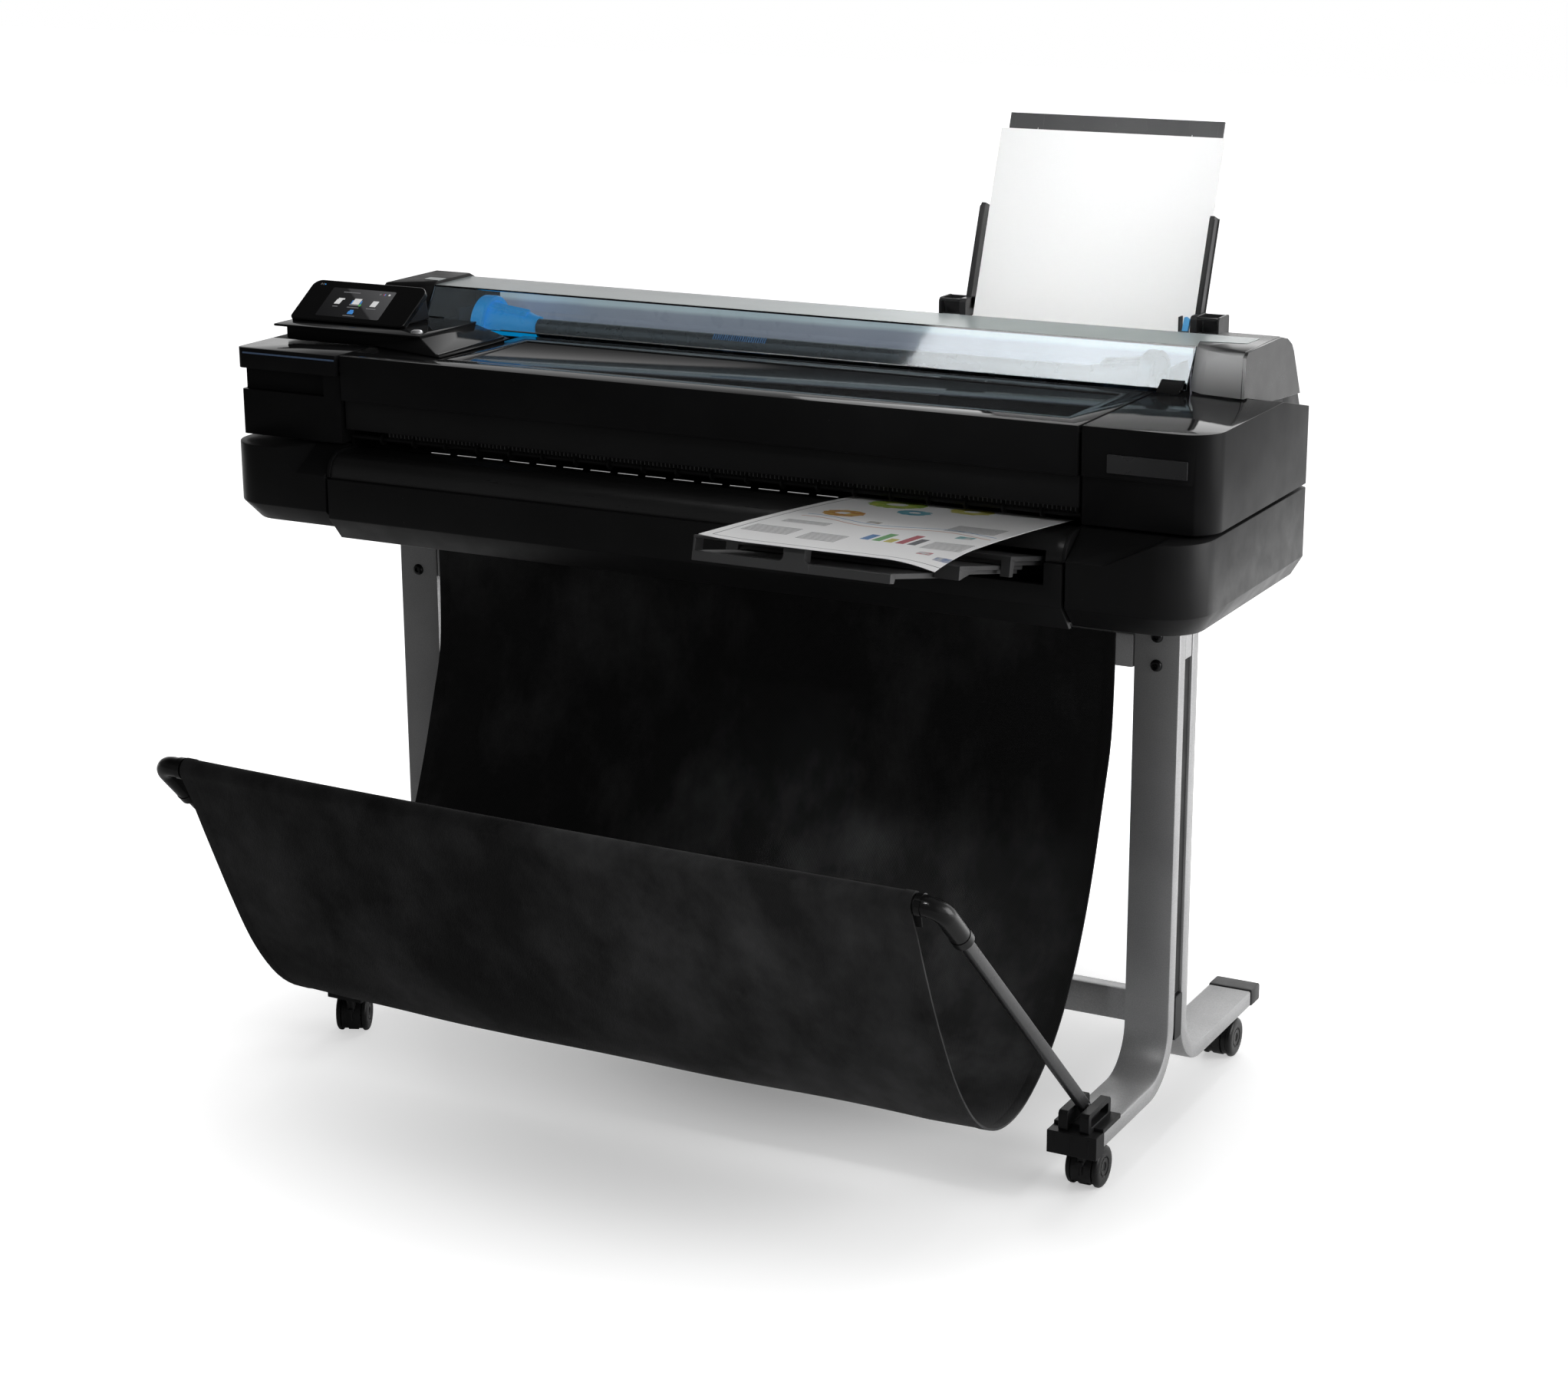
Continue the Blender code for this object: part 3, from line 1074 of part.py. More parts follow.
def make_sheet_feeder():
    right_x = STACK_LEFT_X + STACK_W
    middle_x = STACK_LEFT_X + STACK_W / 2
    part(leaning_slab(STACK_LEFT_X, right_x, STACK_UP - STACK_L, STACK_UP, -STACK_T, 0.0), "sheet_stack", PAPER)
    back = -STACK_T - GAP
    support = leaning_slab(middle_x - SUPPORT_W / 2, middle_x + SUPPORT_W / 2, -SUPPORT_DOWN, SUPPORT_UP,
                           back - SUPPORT_T, back)
    part(support, "sheet_support", GREY_PLASTIC)
    rear = back - SUPPORT_T - GAP
    extension = leaning_slab(middle_x - SUPPORT_W / 2, middle_x + SUPPORT_W / 2, EXTENSION_UP - EXTENSION_L,
                             EXTENSION_UP, rear - SUPPORT_T, rear)
    part(extension, "sheet_support_extension", GREY_PLASTIC)
    for side, edge, name in ((-1, STACK_LEFT_X, "left"), (1, right_x, "right")):
        inner = edge + side * GAP
        outer = inner + side * GUIDE_BLOCK_W
        front_y = REAR_FRONT_Y + EDGE_R
        block = box((min(inner, outer), front_y, REAR_DECK_Z + GAP),
                    (max(inner, outer), front_y + GUIDE_BLOCK_D, REAR_DECK_Z + GUIDE_BLOCK_H))
        wall_outer = inner + side * GUIDE_T
        low_up = (REAR_DECK_Z - FEED_Z) / math.cos(FEED_LEAN) + 0.008
        wall = leaning_slab(min(inner, wall_outer), max(inner, wall_outer), low_up, GUIDE_UP,
                            -STACK_T, GUIDE_D - STACK_T)
        part(join(block, wall), name + "_sheet_guide", SATIN_BLACK)


def make_casters():
    for side_name, side in (("left", -1), ("right", 1)):
        for end_name, middle_y, turn in (("front", CASTER_FRONT_Y, 0.0), ("rear", CASTER_REAR_Y, math.pi)):
            own_turn = FRONT_LEFT_TURN if (side_name, end_name) == ("left", "front") else turn
            make_caster("{}_{}_caster".format(side_name, end_name), side * LEG_X, middle_y, own_turn)


def main():
    make_stand()
    make_casters()
    make_bin()
    make_chassis()
    make_lower_cover("left_lower_cover", -1, SCOOP_LEFT, LEFT_LOW_CORNER_R, -REAR_LEFT_X, BODY_Z + LEFT_FLOOR_RISE)
    make_lower_cover("right_lower_cover", 1, SCOOP_RIGHT, LOW_CORNER_R, REAR_HALF_W, BODY_Z)
    make_right_upper_cover()
    make_left_upper_cover()
    make_ink()
    make_lid()
    make_front()
    make_rear_cover()
    make_end_caps()
    make_roll_cover()
    make_controls()
    make_mechanism()
    make_roll()
    make_output_tray()
    make_sheet_feeder()


main()
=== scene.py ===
import json
import math

import bmesh
import bpy
from mathutils import Matrix, Vector, noise as perlin
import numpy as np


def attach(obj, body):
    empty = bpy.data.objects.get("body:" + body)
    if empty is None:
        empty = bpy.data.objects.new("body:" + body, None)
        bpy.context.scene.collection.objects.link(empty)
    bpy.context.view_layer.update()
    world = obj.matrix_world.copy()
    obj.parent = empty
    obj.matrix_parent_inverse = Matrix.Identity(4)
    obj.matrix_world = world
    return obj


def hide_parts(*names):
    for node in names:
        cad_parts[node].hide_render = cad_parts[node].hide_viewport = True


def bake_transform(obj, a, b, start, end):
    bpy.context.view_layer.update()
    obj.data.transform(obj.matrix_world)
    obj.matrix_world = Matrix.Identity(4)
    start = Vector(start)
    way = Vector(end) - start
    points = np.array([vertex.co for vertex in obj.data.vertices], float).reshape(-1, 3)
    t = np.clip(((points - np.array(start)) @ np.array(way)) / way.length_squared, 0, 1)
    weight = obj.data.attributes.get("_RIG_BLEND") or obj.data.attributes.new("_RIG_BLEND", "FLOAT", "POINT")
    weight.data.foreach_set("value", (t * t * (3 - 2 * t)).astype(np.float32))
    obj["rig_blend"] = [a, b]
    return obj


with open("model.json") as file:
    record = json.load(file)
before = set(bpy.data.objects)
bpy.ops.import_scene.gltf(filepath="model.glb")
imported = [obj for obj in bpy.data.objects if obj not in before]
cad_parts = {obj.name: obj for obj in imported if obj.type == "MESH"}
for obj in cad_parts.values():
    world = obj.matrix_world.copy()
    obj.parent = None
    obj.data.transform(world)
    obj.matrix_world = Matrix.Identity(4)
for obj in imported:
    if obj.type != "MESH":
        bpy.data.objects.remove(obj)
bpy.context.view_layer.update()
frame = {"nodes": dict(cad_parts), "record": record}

NODES = frame["nodes"]
BODY_OF = {node: body for body, nodes in frame["record"]["behaviour"]["bodies"].items() for node in nodes}

# The pieces are measured from the middle of the stand, as the source is, and moved by this much
STAND_Y = 0.154
SIDES = ((-1, "left"), (1, "right"))
GAP = 0.0003
FEED_LEAN = math.radians(19.5)

# The photograph's camera, in the stand's frame
IMAGE_W = 2044
CAMERA_AT = (1.82211, -3.40549, 1.60199)
CAMERA_AZ, CAMERA_EL, CAMERA_ROLL = 0.490133, 0.282786, -0.005438
CAMERA_FOCAL = 4085.1
SENSOR = 36.0


# Shapes


AXES = {
    "X": lambda u, v, w: (w, u, v),
    "Y": lambda u, v, w: (u, w, v),
    "Z": lambda u, v, w: (u, v, w),
}


class Shape:
    """A mesh in the making, in the stand's frame."""

    def __init__(self):
        self.work = bmesh.new()

    def prism(self, outline, place, low, high):
        """A closed outline, pushed along an axis or through a place function of (u, v, w)."""
        place = AXES.get(place, place)
        near = [self.work.verts.new(place(u, v, low)) for u, v in outline]
        far = [self.work.verts.new(place(u, v, high)) for u, v in outline]
        self.work.faces.new(list(reversed(near)))
        self.work.faces.new(far)
        for i in range(len(near)):
            j = (i + 1) % len(near)
            self.work.faces.new((near[i], near[j], far[j], far[i]))
        return self

    def box(self, low, high, place="Z"):
        return self.prism(((low[0], low[1]), (high[0], low[1]), (high[0], high[1]), (low[0], high[1])),
                          place, low[2], high[2])

    def turned(self, profile, middle, axis=(1.0, 0.0, 0.0), *, steps):
        """A profile of (radius, along) points turned about an axis through a point."""
        turn = Vector((0.0, 0.0, 1.0)).rotation_difference(Vector(axis)).to_matrix()
        rings = []
        for radius, along in profile:
            count = 1 if radius == 0.0 else steps
            ring = []
            for i in range(count):
                angle = 2 * math.pi * i / steps
                local = Vector((radius * math.cos(angle), radius * math.sin(angle), along))
                ring.append(self.work.verts.new(Vector(middle) + turn @ local))
            rings.append(ring)
        for first, second in zip(rings, rings[1:]):
            for i in range(steps):
                j = (i + 1) % steps
                corners = [ring[k % len(ring)] for ring, k in ((first, i), (first, j), (second, j), (second, i))]
                corners = list(dict.fromkeys(corners))
                if len(corners) > 2:
                    self.work.faces.new(corners)
        return self

    def tube(self, points, radius, steps):
        """A round bar along points, closed at its ends; radius is a number or one for each point."""
        points = [Vector(p) for p in points]
        radii = radius if hasattr(radius, "__len__") else [radius] * len(points)
        side = None
        rings = []
        for i, point in enumerate(points):
            along = (points[min(i + 1, len(points) - 1)] - points[max(i - 1, 0)]).normalized()
            if side is None:
                side = along.orthogonal().normalized()
            side = (side - along * side.dot(along)).normalized()
            other = along.cross(side)
            ring = []
            for k in range(steps):
                angle = 2 * math.pi * k / steps
                ring.append(self.work.verts.new(point + (side * math.cos(angle) + other * math.sin(angle)) * radii[i]))
            rings.append(ring)
        for first, second in zip(rings, rings[1:]):
            for k in range(steps):
                self.work.faces.new((first[k], first[(k + 1) % steps], second[(k + 1) % steps], second[k]))
        self.work.faces.new(list(reversed(rings[0])))
        self.work.faces.new(rings[-1])
        return self

    def plate(self, outer, holes, place, low, high):
        """A flat outline with holes of as many points as the outline, pushed between two places."""
        place = AXES.get(place, place)
        curve = bpy.data.curves.new("plate", "CURVE")
        curve.dimensions = "2D"
        curve.fill_mode = "BOTH"
        curve.extrude = 0.5
        for loop in [outer] + list(holes):
            spline = curve.splines.new("POLY")
            spline.points.add(len(loop) - 1)
            for point, (u, v) in zip(spline.points, loop):
                point.co = (u, v, 0.0, 1.0)
            spline.use_cyclic_u = True
        holder = bpy.data.objects.new("plate", curve)
        bpy.context.scene.collection.objects.link(holder)
        mesh = bpy.data.meshes.new_from_object(holder.evaluated_get(bpy.context.evaluated_depsgraph_get()))
        bpy.data.objects.remove(holder)
        bpy.data.curves.remove(curve)
        flat = bmesh.new()
        flat.from_mesh(mesh)
        bmesh.ops.remove_doubles(flat, verts=flat.verts, dist=0.000002)
        bmesh.ops.dissolve_limit(flat, angle_limit=0.002, verts=flat.verts, edges=flat.edges)
        made = {}
        for vert in flat.verts:
            u, v, w = vert.co
            made[vert] = self.work.verts.new(place(u, v, low + (w + 0.5) * (high - low)))
        for face in flat.faces:
            self.work.faces.new([made[vert] for vert in face.verts])
        flat.free()
        bpy.data.meshes.remove(mesh)
        return self

    def turn(self, matrix):
        bmesh.ops.transform(self.work, matrix=matrix, verts=self.work.verts)
        return self

    def piece(self, name, finish, slot, body="plotter", replaces=(), **edges):
        """Ends the mesh as a named piece on a body, with its finish and its rounded edges."""
        bmesh.ops.recalc_face_normals(self.work, faces=self.work.faces)
        mesh = bpy.data.meshes.new(name)
        self.work.to_mesh(mesh)
        self.work.free()
        mesh.transform(Matrix.Translation((0.0, STAND_Y, 0.0)))
        return dress(bpy.data.objects.new(name, mesh), finish, body, slot, replaces, **edges)


def dress(made, finish, body, slot, replaces, bevel=0.0, segments=2, smooth=38.0):
    mesh = made.data
    bpy.context.scene.collection.objects.link(made)
    mesh.materials.clear()
    mesh.materials.append(finish.made)
    mesh.shade_smooth()
    mesh.set_sharp_from_angle(angle=math.radians(smooth))
    if bevel:
        edges = made.modifiers.new("round", "BEVEL")
        edges.width = bevel
        edges.segments = segments
        edges.limit_method = "ANGLE"
        edges.angle_limit = math.radians(smooth)
    if body:
        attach(made, body)
    if replaces:
        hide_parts(*replaces)
    return made


def skin(node, finish, slot, bevel=0.0, move=None):
    """A CAD node's own shape with smooth faces and softer edges, in its place; move shifts its points."""
    source = NODES[node].data
    work = bmesh.new()
    work.from_mesh(source)
    bmesh.ops.remove_doubles(work, verts=work.verts, dist=0.00002)
    bmesh.ops.dissolve_limit(work, angle_limit=0.01, verts=work.verts, edges=work.edges)
    bmesh.ops.recalc_face_normals(work, faces=work.faces)
    if move:
        for vert in work.verts:
            vert.co = move(vert.co)
    mesh = bpy.data.meshes.new(node + "_shell")
    work.to_mesh(mesh)
    work.free()
    for layer in [a.name for a in mesh.attributes if a.name == "custom_normal"]:
        mesh.attributes.remove(mesh.attributes[layer])
    made = bpy.data.objects.new(node + "_shell", mesh)
    return dress(made, finish, BODY_OF[node], slot, (node,), bevel)


def arc(middle, radius, start, end, steps):
    angles = [math.radians(start + (end - start) * i / steps) for i in range(steps + 1)]
    return [(middle[0] + radius * math.cos(a), middle[1] + radius * math.sin(a)) for a in angles]


def rounded(corners, steps):
    """An outline of (u, v, radius) corners, each with its radius as an arc."""
    outline = []
    for i, (u, v, radius) in enumerate(corners):
        corner = Vector((u, v))
        if radius == 0.0:
            outline.append((u, v))
            continue
        before = (Vector(corners[i - 1][:2]) - corner).normalized()
        after = (Vector(corners[(i + 1) % len(corners)][:2]) - corner).normalized()
        half = before.angle(after) / 2
        centre = corner + (before + after).normalized() * radius / math.sin(half)
        first = (corner + before * radius / math.tan(half) - centre).normalized()
        last = (corner + after * radius / math.tan(half) - centre).normalized()
        for step in range(steps + 1):
            outline.append(tuple(centre + first.slerp(last, step / steps) * radius))
    return outline


def round_box(low_u, low_v, high_u, high_v, radius, steps=5):
    return rounded(((low_u, low_v, radius), (high_u, low_v, radius), (high_u, high_v, radius),
                    (low_u, high_v, radius)), steps)


def span(side, near, far, middle=0.0):
    """Two distances from a middle to one side, as a low and a high place."""
    return sorted((middle + side * near, middle + side * far))


def limited(value):
    """A value kept from 0 to 1."""
    return max(0.0, min(1.0, value))


# Finishes


def tone(level, blue=None):
    """A grey, with a blue of its own where one is given."""
    return (level, level, level if blue is None else blue)


class Nodes:
    """The shader nodes of a material or of the world."""

    def __init__(self, owner):
        owner.use_nodes = True
        self.tree = owner.node_tree
        self.place = None

    def feed(self, socket, value):
        """Joins a socket to another node's output, or gives it a number, a vector or a colour."""
        if hasattr(value, "node"):
            self.tree.links.new(value, socket)
        else:
            socket.default_value = (*value, 1.0) if socket.type == "RGBA" else value

    def node(self, kind, sockets=None, **values):
        made = self.tree.nodes.new(kind)
        for key, value in values.items():
            setattr(made, key, value)
        for key, value in (sockets or {}).items():
            self.feed(made.inputs[key], value)
        return made

    def coords(self, stretch=(1.0, 1.0, 1.0), source="Object"):
        if self.place is None:
            self.place = self.node("ShaderNodeTexCoord")
        sockets = {"Vector": self.place.outputs[source], "Scale": stretch}
        return self.node("ShaderNodeMapping", sockets).outputs["Vector"]

    def axes(self, vector):
        return self.node("ShaderNodeSeparateXYZ", {"Vector": vector}).outputs

    def facing(self, vector, way):
        """How far a vector points a given way, from -1 to 1."""
        return self.node("ShaderNodeVectorMath", {0: vector, 1: way}, operation="DOT_PRODUCT").outputs["Value"]

    def noise(self, size, detail=3.0, rough=0.5, stretch=(1.0, 1.0, 1.0), source="Object"):
        sockets = {"Vector": self.coords(stretch, source), "Scale": 1.0 / size, "Detail": detail, "Roughness": rough}
        return self.node("ShaderNodeTexNoise", sockets).outputs["Fac"]

    def ramp(self, factor, stops):
        made = self.node("ShaderNodeValToRGB", {"Fac": factor})
        points = made.color_ramp.elements
        while len(points) < len(stops):
            points.new(0.5)
        for point, (place, colour) in zip(points, stops):
            point.position = place
            point.color = (*colour, 1.0)
        return made.outputs["Color"]

    def spread(self, factor, low, high, from_low=0.3, from_high=0.7):
        sockets = {"Value": factor, "From Min": from_low, "From Max": from_high, "To Min": low, "To Max": high}
        return self.node("ShaderNodeMapRange", sockets).outputs["Result"]

    def math(self, operation, first, second=0.0):
        return self.node("ShaderNodeMath", {0: first, 1: second}, operation=operation).outputs["Value"]

    def times(self, first, second):
        return self.math("MULTIPLY", first, second)

    def plus(self, first, second):
        return self.math("ADD", first, second)

    def minus(self, first, second):
        return self.math("SUBTRACT", first, second)

    def mix(self, factor, first, second):
        """One colour over another where the factor is 1."""
        return self.node("ShaderNodeMix", {0: factor, 6: first, 7: second}, data_type="RGBA").outputs[2]

    def away(self, first, second):
        """The length of a flat vector."""
        squares = self.times(first, first), self.times(second, second)
        return self.math("SQRT", self.plus(*squares))

    def seen(self):
        """The outputs of the light path, and 1 where the camera looks, also through clear pieces."""
        path = self.node("ShaderNodeLightPath").outputs
        return path, self.math("MAXIMUM", path["Is Camera Ray"], path["Is Transmission Ray"])


class Finish(Nodes):
    """A procedural material around one Principled shader."""

    def __init__(self, name, colour, roughness, metallic=0.0, **more):
        self.made = bpy.data.materials.new(name)
        super().__init__(self.made)
        self.shader = self.tree.nodes["Principled BSDF"]
        self.to(colour, "Base Color").to(roughness, "Roughness").to(metallic, "Metallic")
        for key, value in more.items():
            self.to(value, key.replace("_", " ").title().replace("Ior", "IOR"))

    def to(self, value, socket):
        self.feed(self.shader.inputs[socket], value)
        return self

    def bump(self, height, strength, distance):
        sockets = {"Height": height, "Strength": strength, "Distance": distance}
        return self.to(self.node("ShaderNodeBump", sockets).outputs["Normal"], "Normal")

    def base(self):
        return self.shader.inputs["Base Color"].links[0].from_socket

    def shades(self, dark, light, *grain):
        """A base colour between two shades over a noise."""
        return self.to(self.ramp(self.noise(*grain), ((0.3, dark), (0.7, light))), "Base Color")

    def rough(self, low, high, *grain):
        return self.to(self.spread(self.noise(*grain), low, high), "Roughness")

    def normal(self):
        return self.node("ShaderNodeNewGeometry").outputs["Normal"]

    def specks(self, size, share, chance):
        """A mask of rare small dots, as dust leaves them."""
        cells = self.node("ShaderNodeTexVoronoi", {"Vector": self.coords(), "Scale": 1.0 / size}).outputs
        parts = self.node("ShaderNodeSeparateColor", {"Color": cells["Color"]}).outputs
        near = self.math("LESS_THAN", cells["Distance"], share)
        return self.times(near, self.math("GREATER_THAN", parts[0], chance))

    def facing_up(self):
        """1 on faces that look up, 0 on upright ones."""
        return self.spread(self.axes(self.normal())["Z"], 0.0, 1.0, 0.86, 0.97)


# The size of the fine grain of moulded plastic
GRAIN = 0.0006


def moulded(name, dark, light, rough, depth=0.00012, patch=0.14, dust=True, **more):
    """Moulded plastic: slow shade changes, fine grain and a little dust."""
    made = Finish(name, dark, rough[0], **more)
    shade = made.ramp(made.noise(patch, 4.0), ((0.32, dark), (0.7, light)))
    if dust:
        shade = made.mix(made.specks(0.016, 0.026, 0.86), shade, [min(1.0, c * 4 + 0.02) for c in light])
    made.to(shade, "Base Color").rough(*rough, 0.03, 4.0)
    return made.bump(made.noise(GRAIN, 2.0), 0.25, depth)


def glossy_top(name, dark, light, rough, top_rough, **more):
    """Moulded plastic that is polished where it faces up."""
    made = moulded(name, dark, light, rough, **more)
    side = made.spread(made.noise(0.05, 3.0), *rough)
    top = made.spread(made.noise(0.02, 5.0), *top_rough)
    blend = made.node("ShaderNodeMix", {0: made.facing_up(), 2: side, 3: top}, data_type="FLOAT")
    return made.to(blend.outputs[0], "Roughness")


def painted(name, dark, light, metallic, rough):
    """Silver-grey powder paint: metal flakes, orange peel and slow shade changes."""
    made = Finish(name, light, rough[0], metallic)
    flakes = made.noise(0.0011, 2.0, 0.6)
    slow = made.noise(0.1, 4.0)
    mixed = made.plus(made.times(flakes, 0.6), made.times(slow, 0.4))
    made.to(made.ramp(mixed, ((0.34, dark), (0.66, light))), "Base Color")
    return made.rough(*rough, 0.004, 3.0).bump(flakes, 0.2, 0.00012)


def woven(name, dark, light, dusty):
    """Black twill: threads in both ways from the sheet's own coordinates, and pale dust in patches."""
    made = Finish(name, dark, 0.85, sheen_weight=0.06, sheen_roughness=0.45, specular_ior_level=0.2)
    across, along, _ = made.axes(made.coords(source="UV"))
    pitch = 2 * math.pi / 0.0021
    warp = made.math("SINE", made.times(made.plus(across, along), pitch))
    slant = made.minus(across, made.times(along, 0.5))
    weft = made.math("SINE", made.times(slant, pitch))
    threads = made.spread(made.plus(warp, made.times(weft, 0.6)), 0.0, 1.0, -1.6, 1.6)
    shade = made.ramp(threads, ((0.15, dark), (0.85, light)))
    patches = made.times(made.noise(0.09, 6.0, 0.62, (1.0, 1.0, 0.55)), made.noise(0.35, 2.0))
    shade = made.mix(made.spread(patches, 0.0, 0.62, 0.2, 0.42), shade, dusty)
    return made.to(shade, "Base Color").rough(0.75, 0.95, 0.05, 3.0).bump(threads, 0.55, 0.0004)


def inked(name, colour, glow=0.0):
    """A thin even colour with a faint mottle, for marks and for what a screen shows."""
    made = Finish(name, colour, 0.45)
    darker = [c * 0.82 for c in colour]
    made.shades(darker, colour, 0.004, 3.0)
    if glow:
        made.to(made.base(), "Emission Color").to(glow, "Emission Strength")
    return made


SATIN = moulded("satin_black", tone(0.0147, 0.0152), tone(0.0204, 0.021), (0.36, 0.46), specular_ior_level=0.13)
SHELL = glossy_top("satin_black_shell", tone(0.0129, 0.0134), tone(0.018, 0.0186), (0.34, 0.42), (0.03, 0.06),
                   depth=0.00003, specular_ior_level=0.045)
SPINDLE = moulded("spindle_black", (0.006, 0.008, 0.01), (0.01, 0.012, 0.015), (0.22, 0.3))
GLOSS = moulded("gloss_black", tone(0.0036, 0.0038), tone(0.0056, 0.0058), (0.08, 0.14), depth=0.00002,
                specular_ior_level=0.25)
MATT = moulded("matt_black", tone(0.005, 0.0052), tone(0.0086, 0.0088), (0.52, 0.66), specular_ior_level=0.25)
GREY = moulded("grey_plastic", tone(0.044, 0.045), tone(0.062, 0.063), (0.38, 0.5))
SMOKE = moulded("smoke_grey_plastic", tone(0.062, 0.064), tone(0.084, 0.086), (0.3, 0.4))
GUIDE = moulded("guide_plastic", tone(0.013, 0.0135), tone(0.021, 0.0215), (0.34, 0.46), specular_ior_level=0.35)
# Blue plastic of the left roll hub, with a painted glow of its own.
BLUE_PAINTED_GLOW = moulded("blue_plastic", (0.008, 0.3, 0.64), (0.012, 0.37, 0.76), (0.24, 0.34), dust=False,
               emission_color=(0.001, 0.23, 0.52), emission_strength=0.6)
SKY = moulded("sky_blue_plastic", (0.1, 0.42, 0.8), (0.16, 0.52, 0.9), (0.26, 0.36), dust=False)
SILVER = painted("silver_paint", tone(0.33, 0.333), tone(0.49, 0.494), 0.35, (0.36, 0.5))
BAR_METAL = painted("dark_metal", tone(0.036, 0.037), tone(0.064, 0.066), 0.6, (0.26, 0.38))
ELBOW = moulded("elbow_gloss", tone(0.007, 0.0072), tone(0.0105, 0.0107), (0.18, 0.26), specular_ior_level=0.35)
STEEL = painted("steel", tone(0.4, 0.41), tone(0.58, 0.59), 1.0, (0.2, 0.34))
RAIL = painted("rail_metal", tone(0.46, 0.47), tone(0.62, 0.63), 1.0, (0.26, 0.4))
RUBBER = moulded("wheel_rubber", tone(0.01), tone(0.016), (0.4, 0.58))
WHEEL = moulded("wheel_plastic", tone(0.009, 0.0092), tone(0.013, 0.0132), (0.24, 0.36), specular_ior_level=0.25)
CLOTH = woven("black_cloth", tone(0.0085, 0.0087), tone(0.023, 0.0234), tone(0.105, 0.107))
HUB_DARK = moulded("dark_hub", (0.006, 0.014, 0.024), (0.01, 0.02, 0.034), (0.24, 0.34), dust=False)
BOARD = moulded("circuit_board", (0.01, 0.07, 0.028), (0.016, 0.1, 0.042), (0.3, 0.44), patch=0.02)
INKS = {
    "cyan": moulded("cyan_tank", (0.02, 0.26, 0.52), (0.03, 0.33, 0.62), (0.28, 0.4)),
    "magenta": moulded("magenta_tank", (0.42, 0.02, 0.18), (0.52, 0.03, 0.24), (0.28, 0.4)),
    "yellow": moulded("yellow_tank", (0.64, 0.48, 0.02), (0.74, 0.58, 0.04), (0.28, 0.4)),
    "black": moulded("black_tank", tone(0.012), tone(0.02), (0.28, 0.4)),
}


def nose_finish():
    """Satin plastic with fine rubbed streaks along it."""
    made = moulded("rubbed_black", tone(0.014, 0.0143), tone(0.022, 0.0224), (0.3, 0.42), specular_ior_level=0.55)
    streaks = made.noise(0.004, 4.0, 0.6, (0.05, 1.0, 1.0))
    return made.to(made.spread(streaks, 0.26, 0.44), "Roughness")


def cover_finish():
    """Smoked see-through plastic."""
    made = Finish("smoked_clear", (0.62, 0.72, 0.78), 0.03, transmission_weight=1.0, ior=1.5)
    made.shades((0.58, 0.69, 0.75), (0.66, 0.75, 0.81), 0.2, 3.0).rough(0.02, 0.05, 0.06, 4.0)
    return made.bump(made.noise(0.05, 2.0), 0.1, 0.0004)


def cover_top_finish():
    """The frosted pale top of the roll cover."""
    made = Finish("frosted_clear", (0.43, 0.48, 0.48), 0.22, alpha=0.8)
    made.shades((0.42, 0.47, 0.47), (0.45, 0.5, 0.5), 0.3, 2.0)
    return made.rough(0.2, 0.26, 0.08, 2.0)


def paper_finish(name, shade):
    """Plain paper with faint fibres."""
    made = Finish(name, shade, 0.62)
    darker = [c * 0.965 for c in shade]
    fibres = made.noise(0.0016, 4.0, 0.6)
    made.to(made.ramp(fibres, ((0.3, darker), (0.7, shade))), "Base Color")
    return made.bump(fibres, 0.05, 0.00005)


def stack_finish():
    """A stack of paper: the sheets show as fine lines on its edges."""
    made = paper_finish("paper_stack", tone(0.86))
    _, y, z = made.axes(made.coords())
    depth = made.minus(made.times(y, math.cos(FEED_LEAN)), made.times(z, math.sin(FEED_LEAN)))
    lines = made.math("SINE", made.times(depth, 2 * math.pi / 0.00045))
    shade = made.ramp(made.spread(lines, 0.0, 1.0, -1.0, 1.0), ((0.0, tone(0.76)), (0.6, tone(0.87))))
    facing = made.facing(made.normal(), (0.0, -math.cos(FEED_LEAN), math.sin(FEED_LEAN)))
    flat = made.math("GREATER_THAN", made.math("ABSOLUTE", facing), 0.8)
    return made.to(made.mix(flat, shade, tone(0.86)), "Base Color")


def liner_finish():
    """The translucent back wall of the roll bay, with a painted glow in place of light from behind: lavender grey, with
    painted shade dark at its foot and painted light pale above.
    """
    made = Finish("bay_wall_painted_glow", tone(0.3, 0.32), 0.3, emission_strength=0.62)
    wobble = made.times(made.minus(made.noise(0.05, 4.0), 0.5), 0.004)
    height = made.plus(made.axes(made.coords())["Z"], wobble)
    # Painted shade dark at the foot and painted light pale above, by height, with a wobble on the line between.
    shade = made.ramp(made.spread(height, 0.0, 1.0, 0.89, 0.96),
                      ((0.2, (0.01, 0.013, 0.03)), (0.26, tone(0.25, 0.29)), (0.66, tone(0.3, 0.34)),
                       (0.74, (0.56, 0.61, 0.61))))
    made.to(shade, "Base Color").to(shade, "Emission Color")
    return made.rough(0.25, 0.38, 0.02, 3.0)


def cap_finish():
    """Satin plastic of the right end cap, with a pale sheen painted on the upper part of its front."""
    made = moulded("cap_satin_painted_sheen", tone(0.0066, 0.0069), tone(0.0094, 0.0098), (0.26, 0.34), specular_ior_level=0.4)
    front = made.spread(made.axes(made.normal())["Y"], 1.0, 0.0, -0.8, -0.45)
    wobble = made.times(made.noise(0.02, 4.0), 0.004)
    rise = made.spread(made.plus(made.axes(made.coords())["Z"], wobble), 0.55, 1.0, 0.925, 0.962)
    return made.to(made.mix(made.times(front, rise), made.base(), tone(0.7, 0.705)), "Base Color")


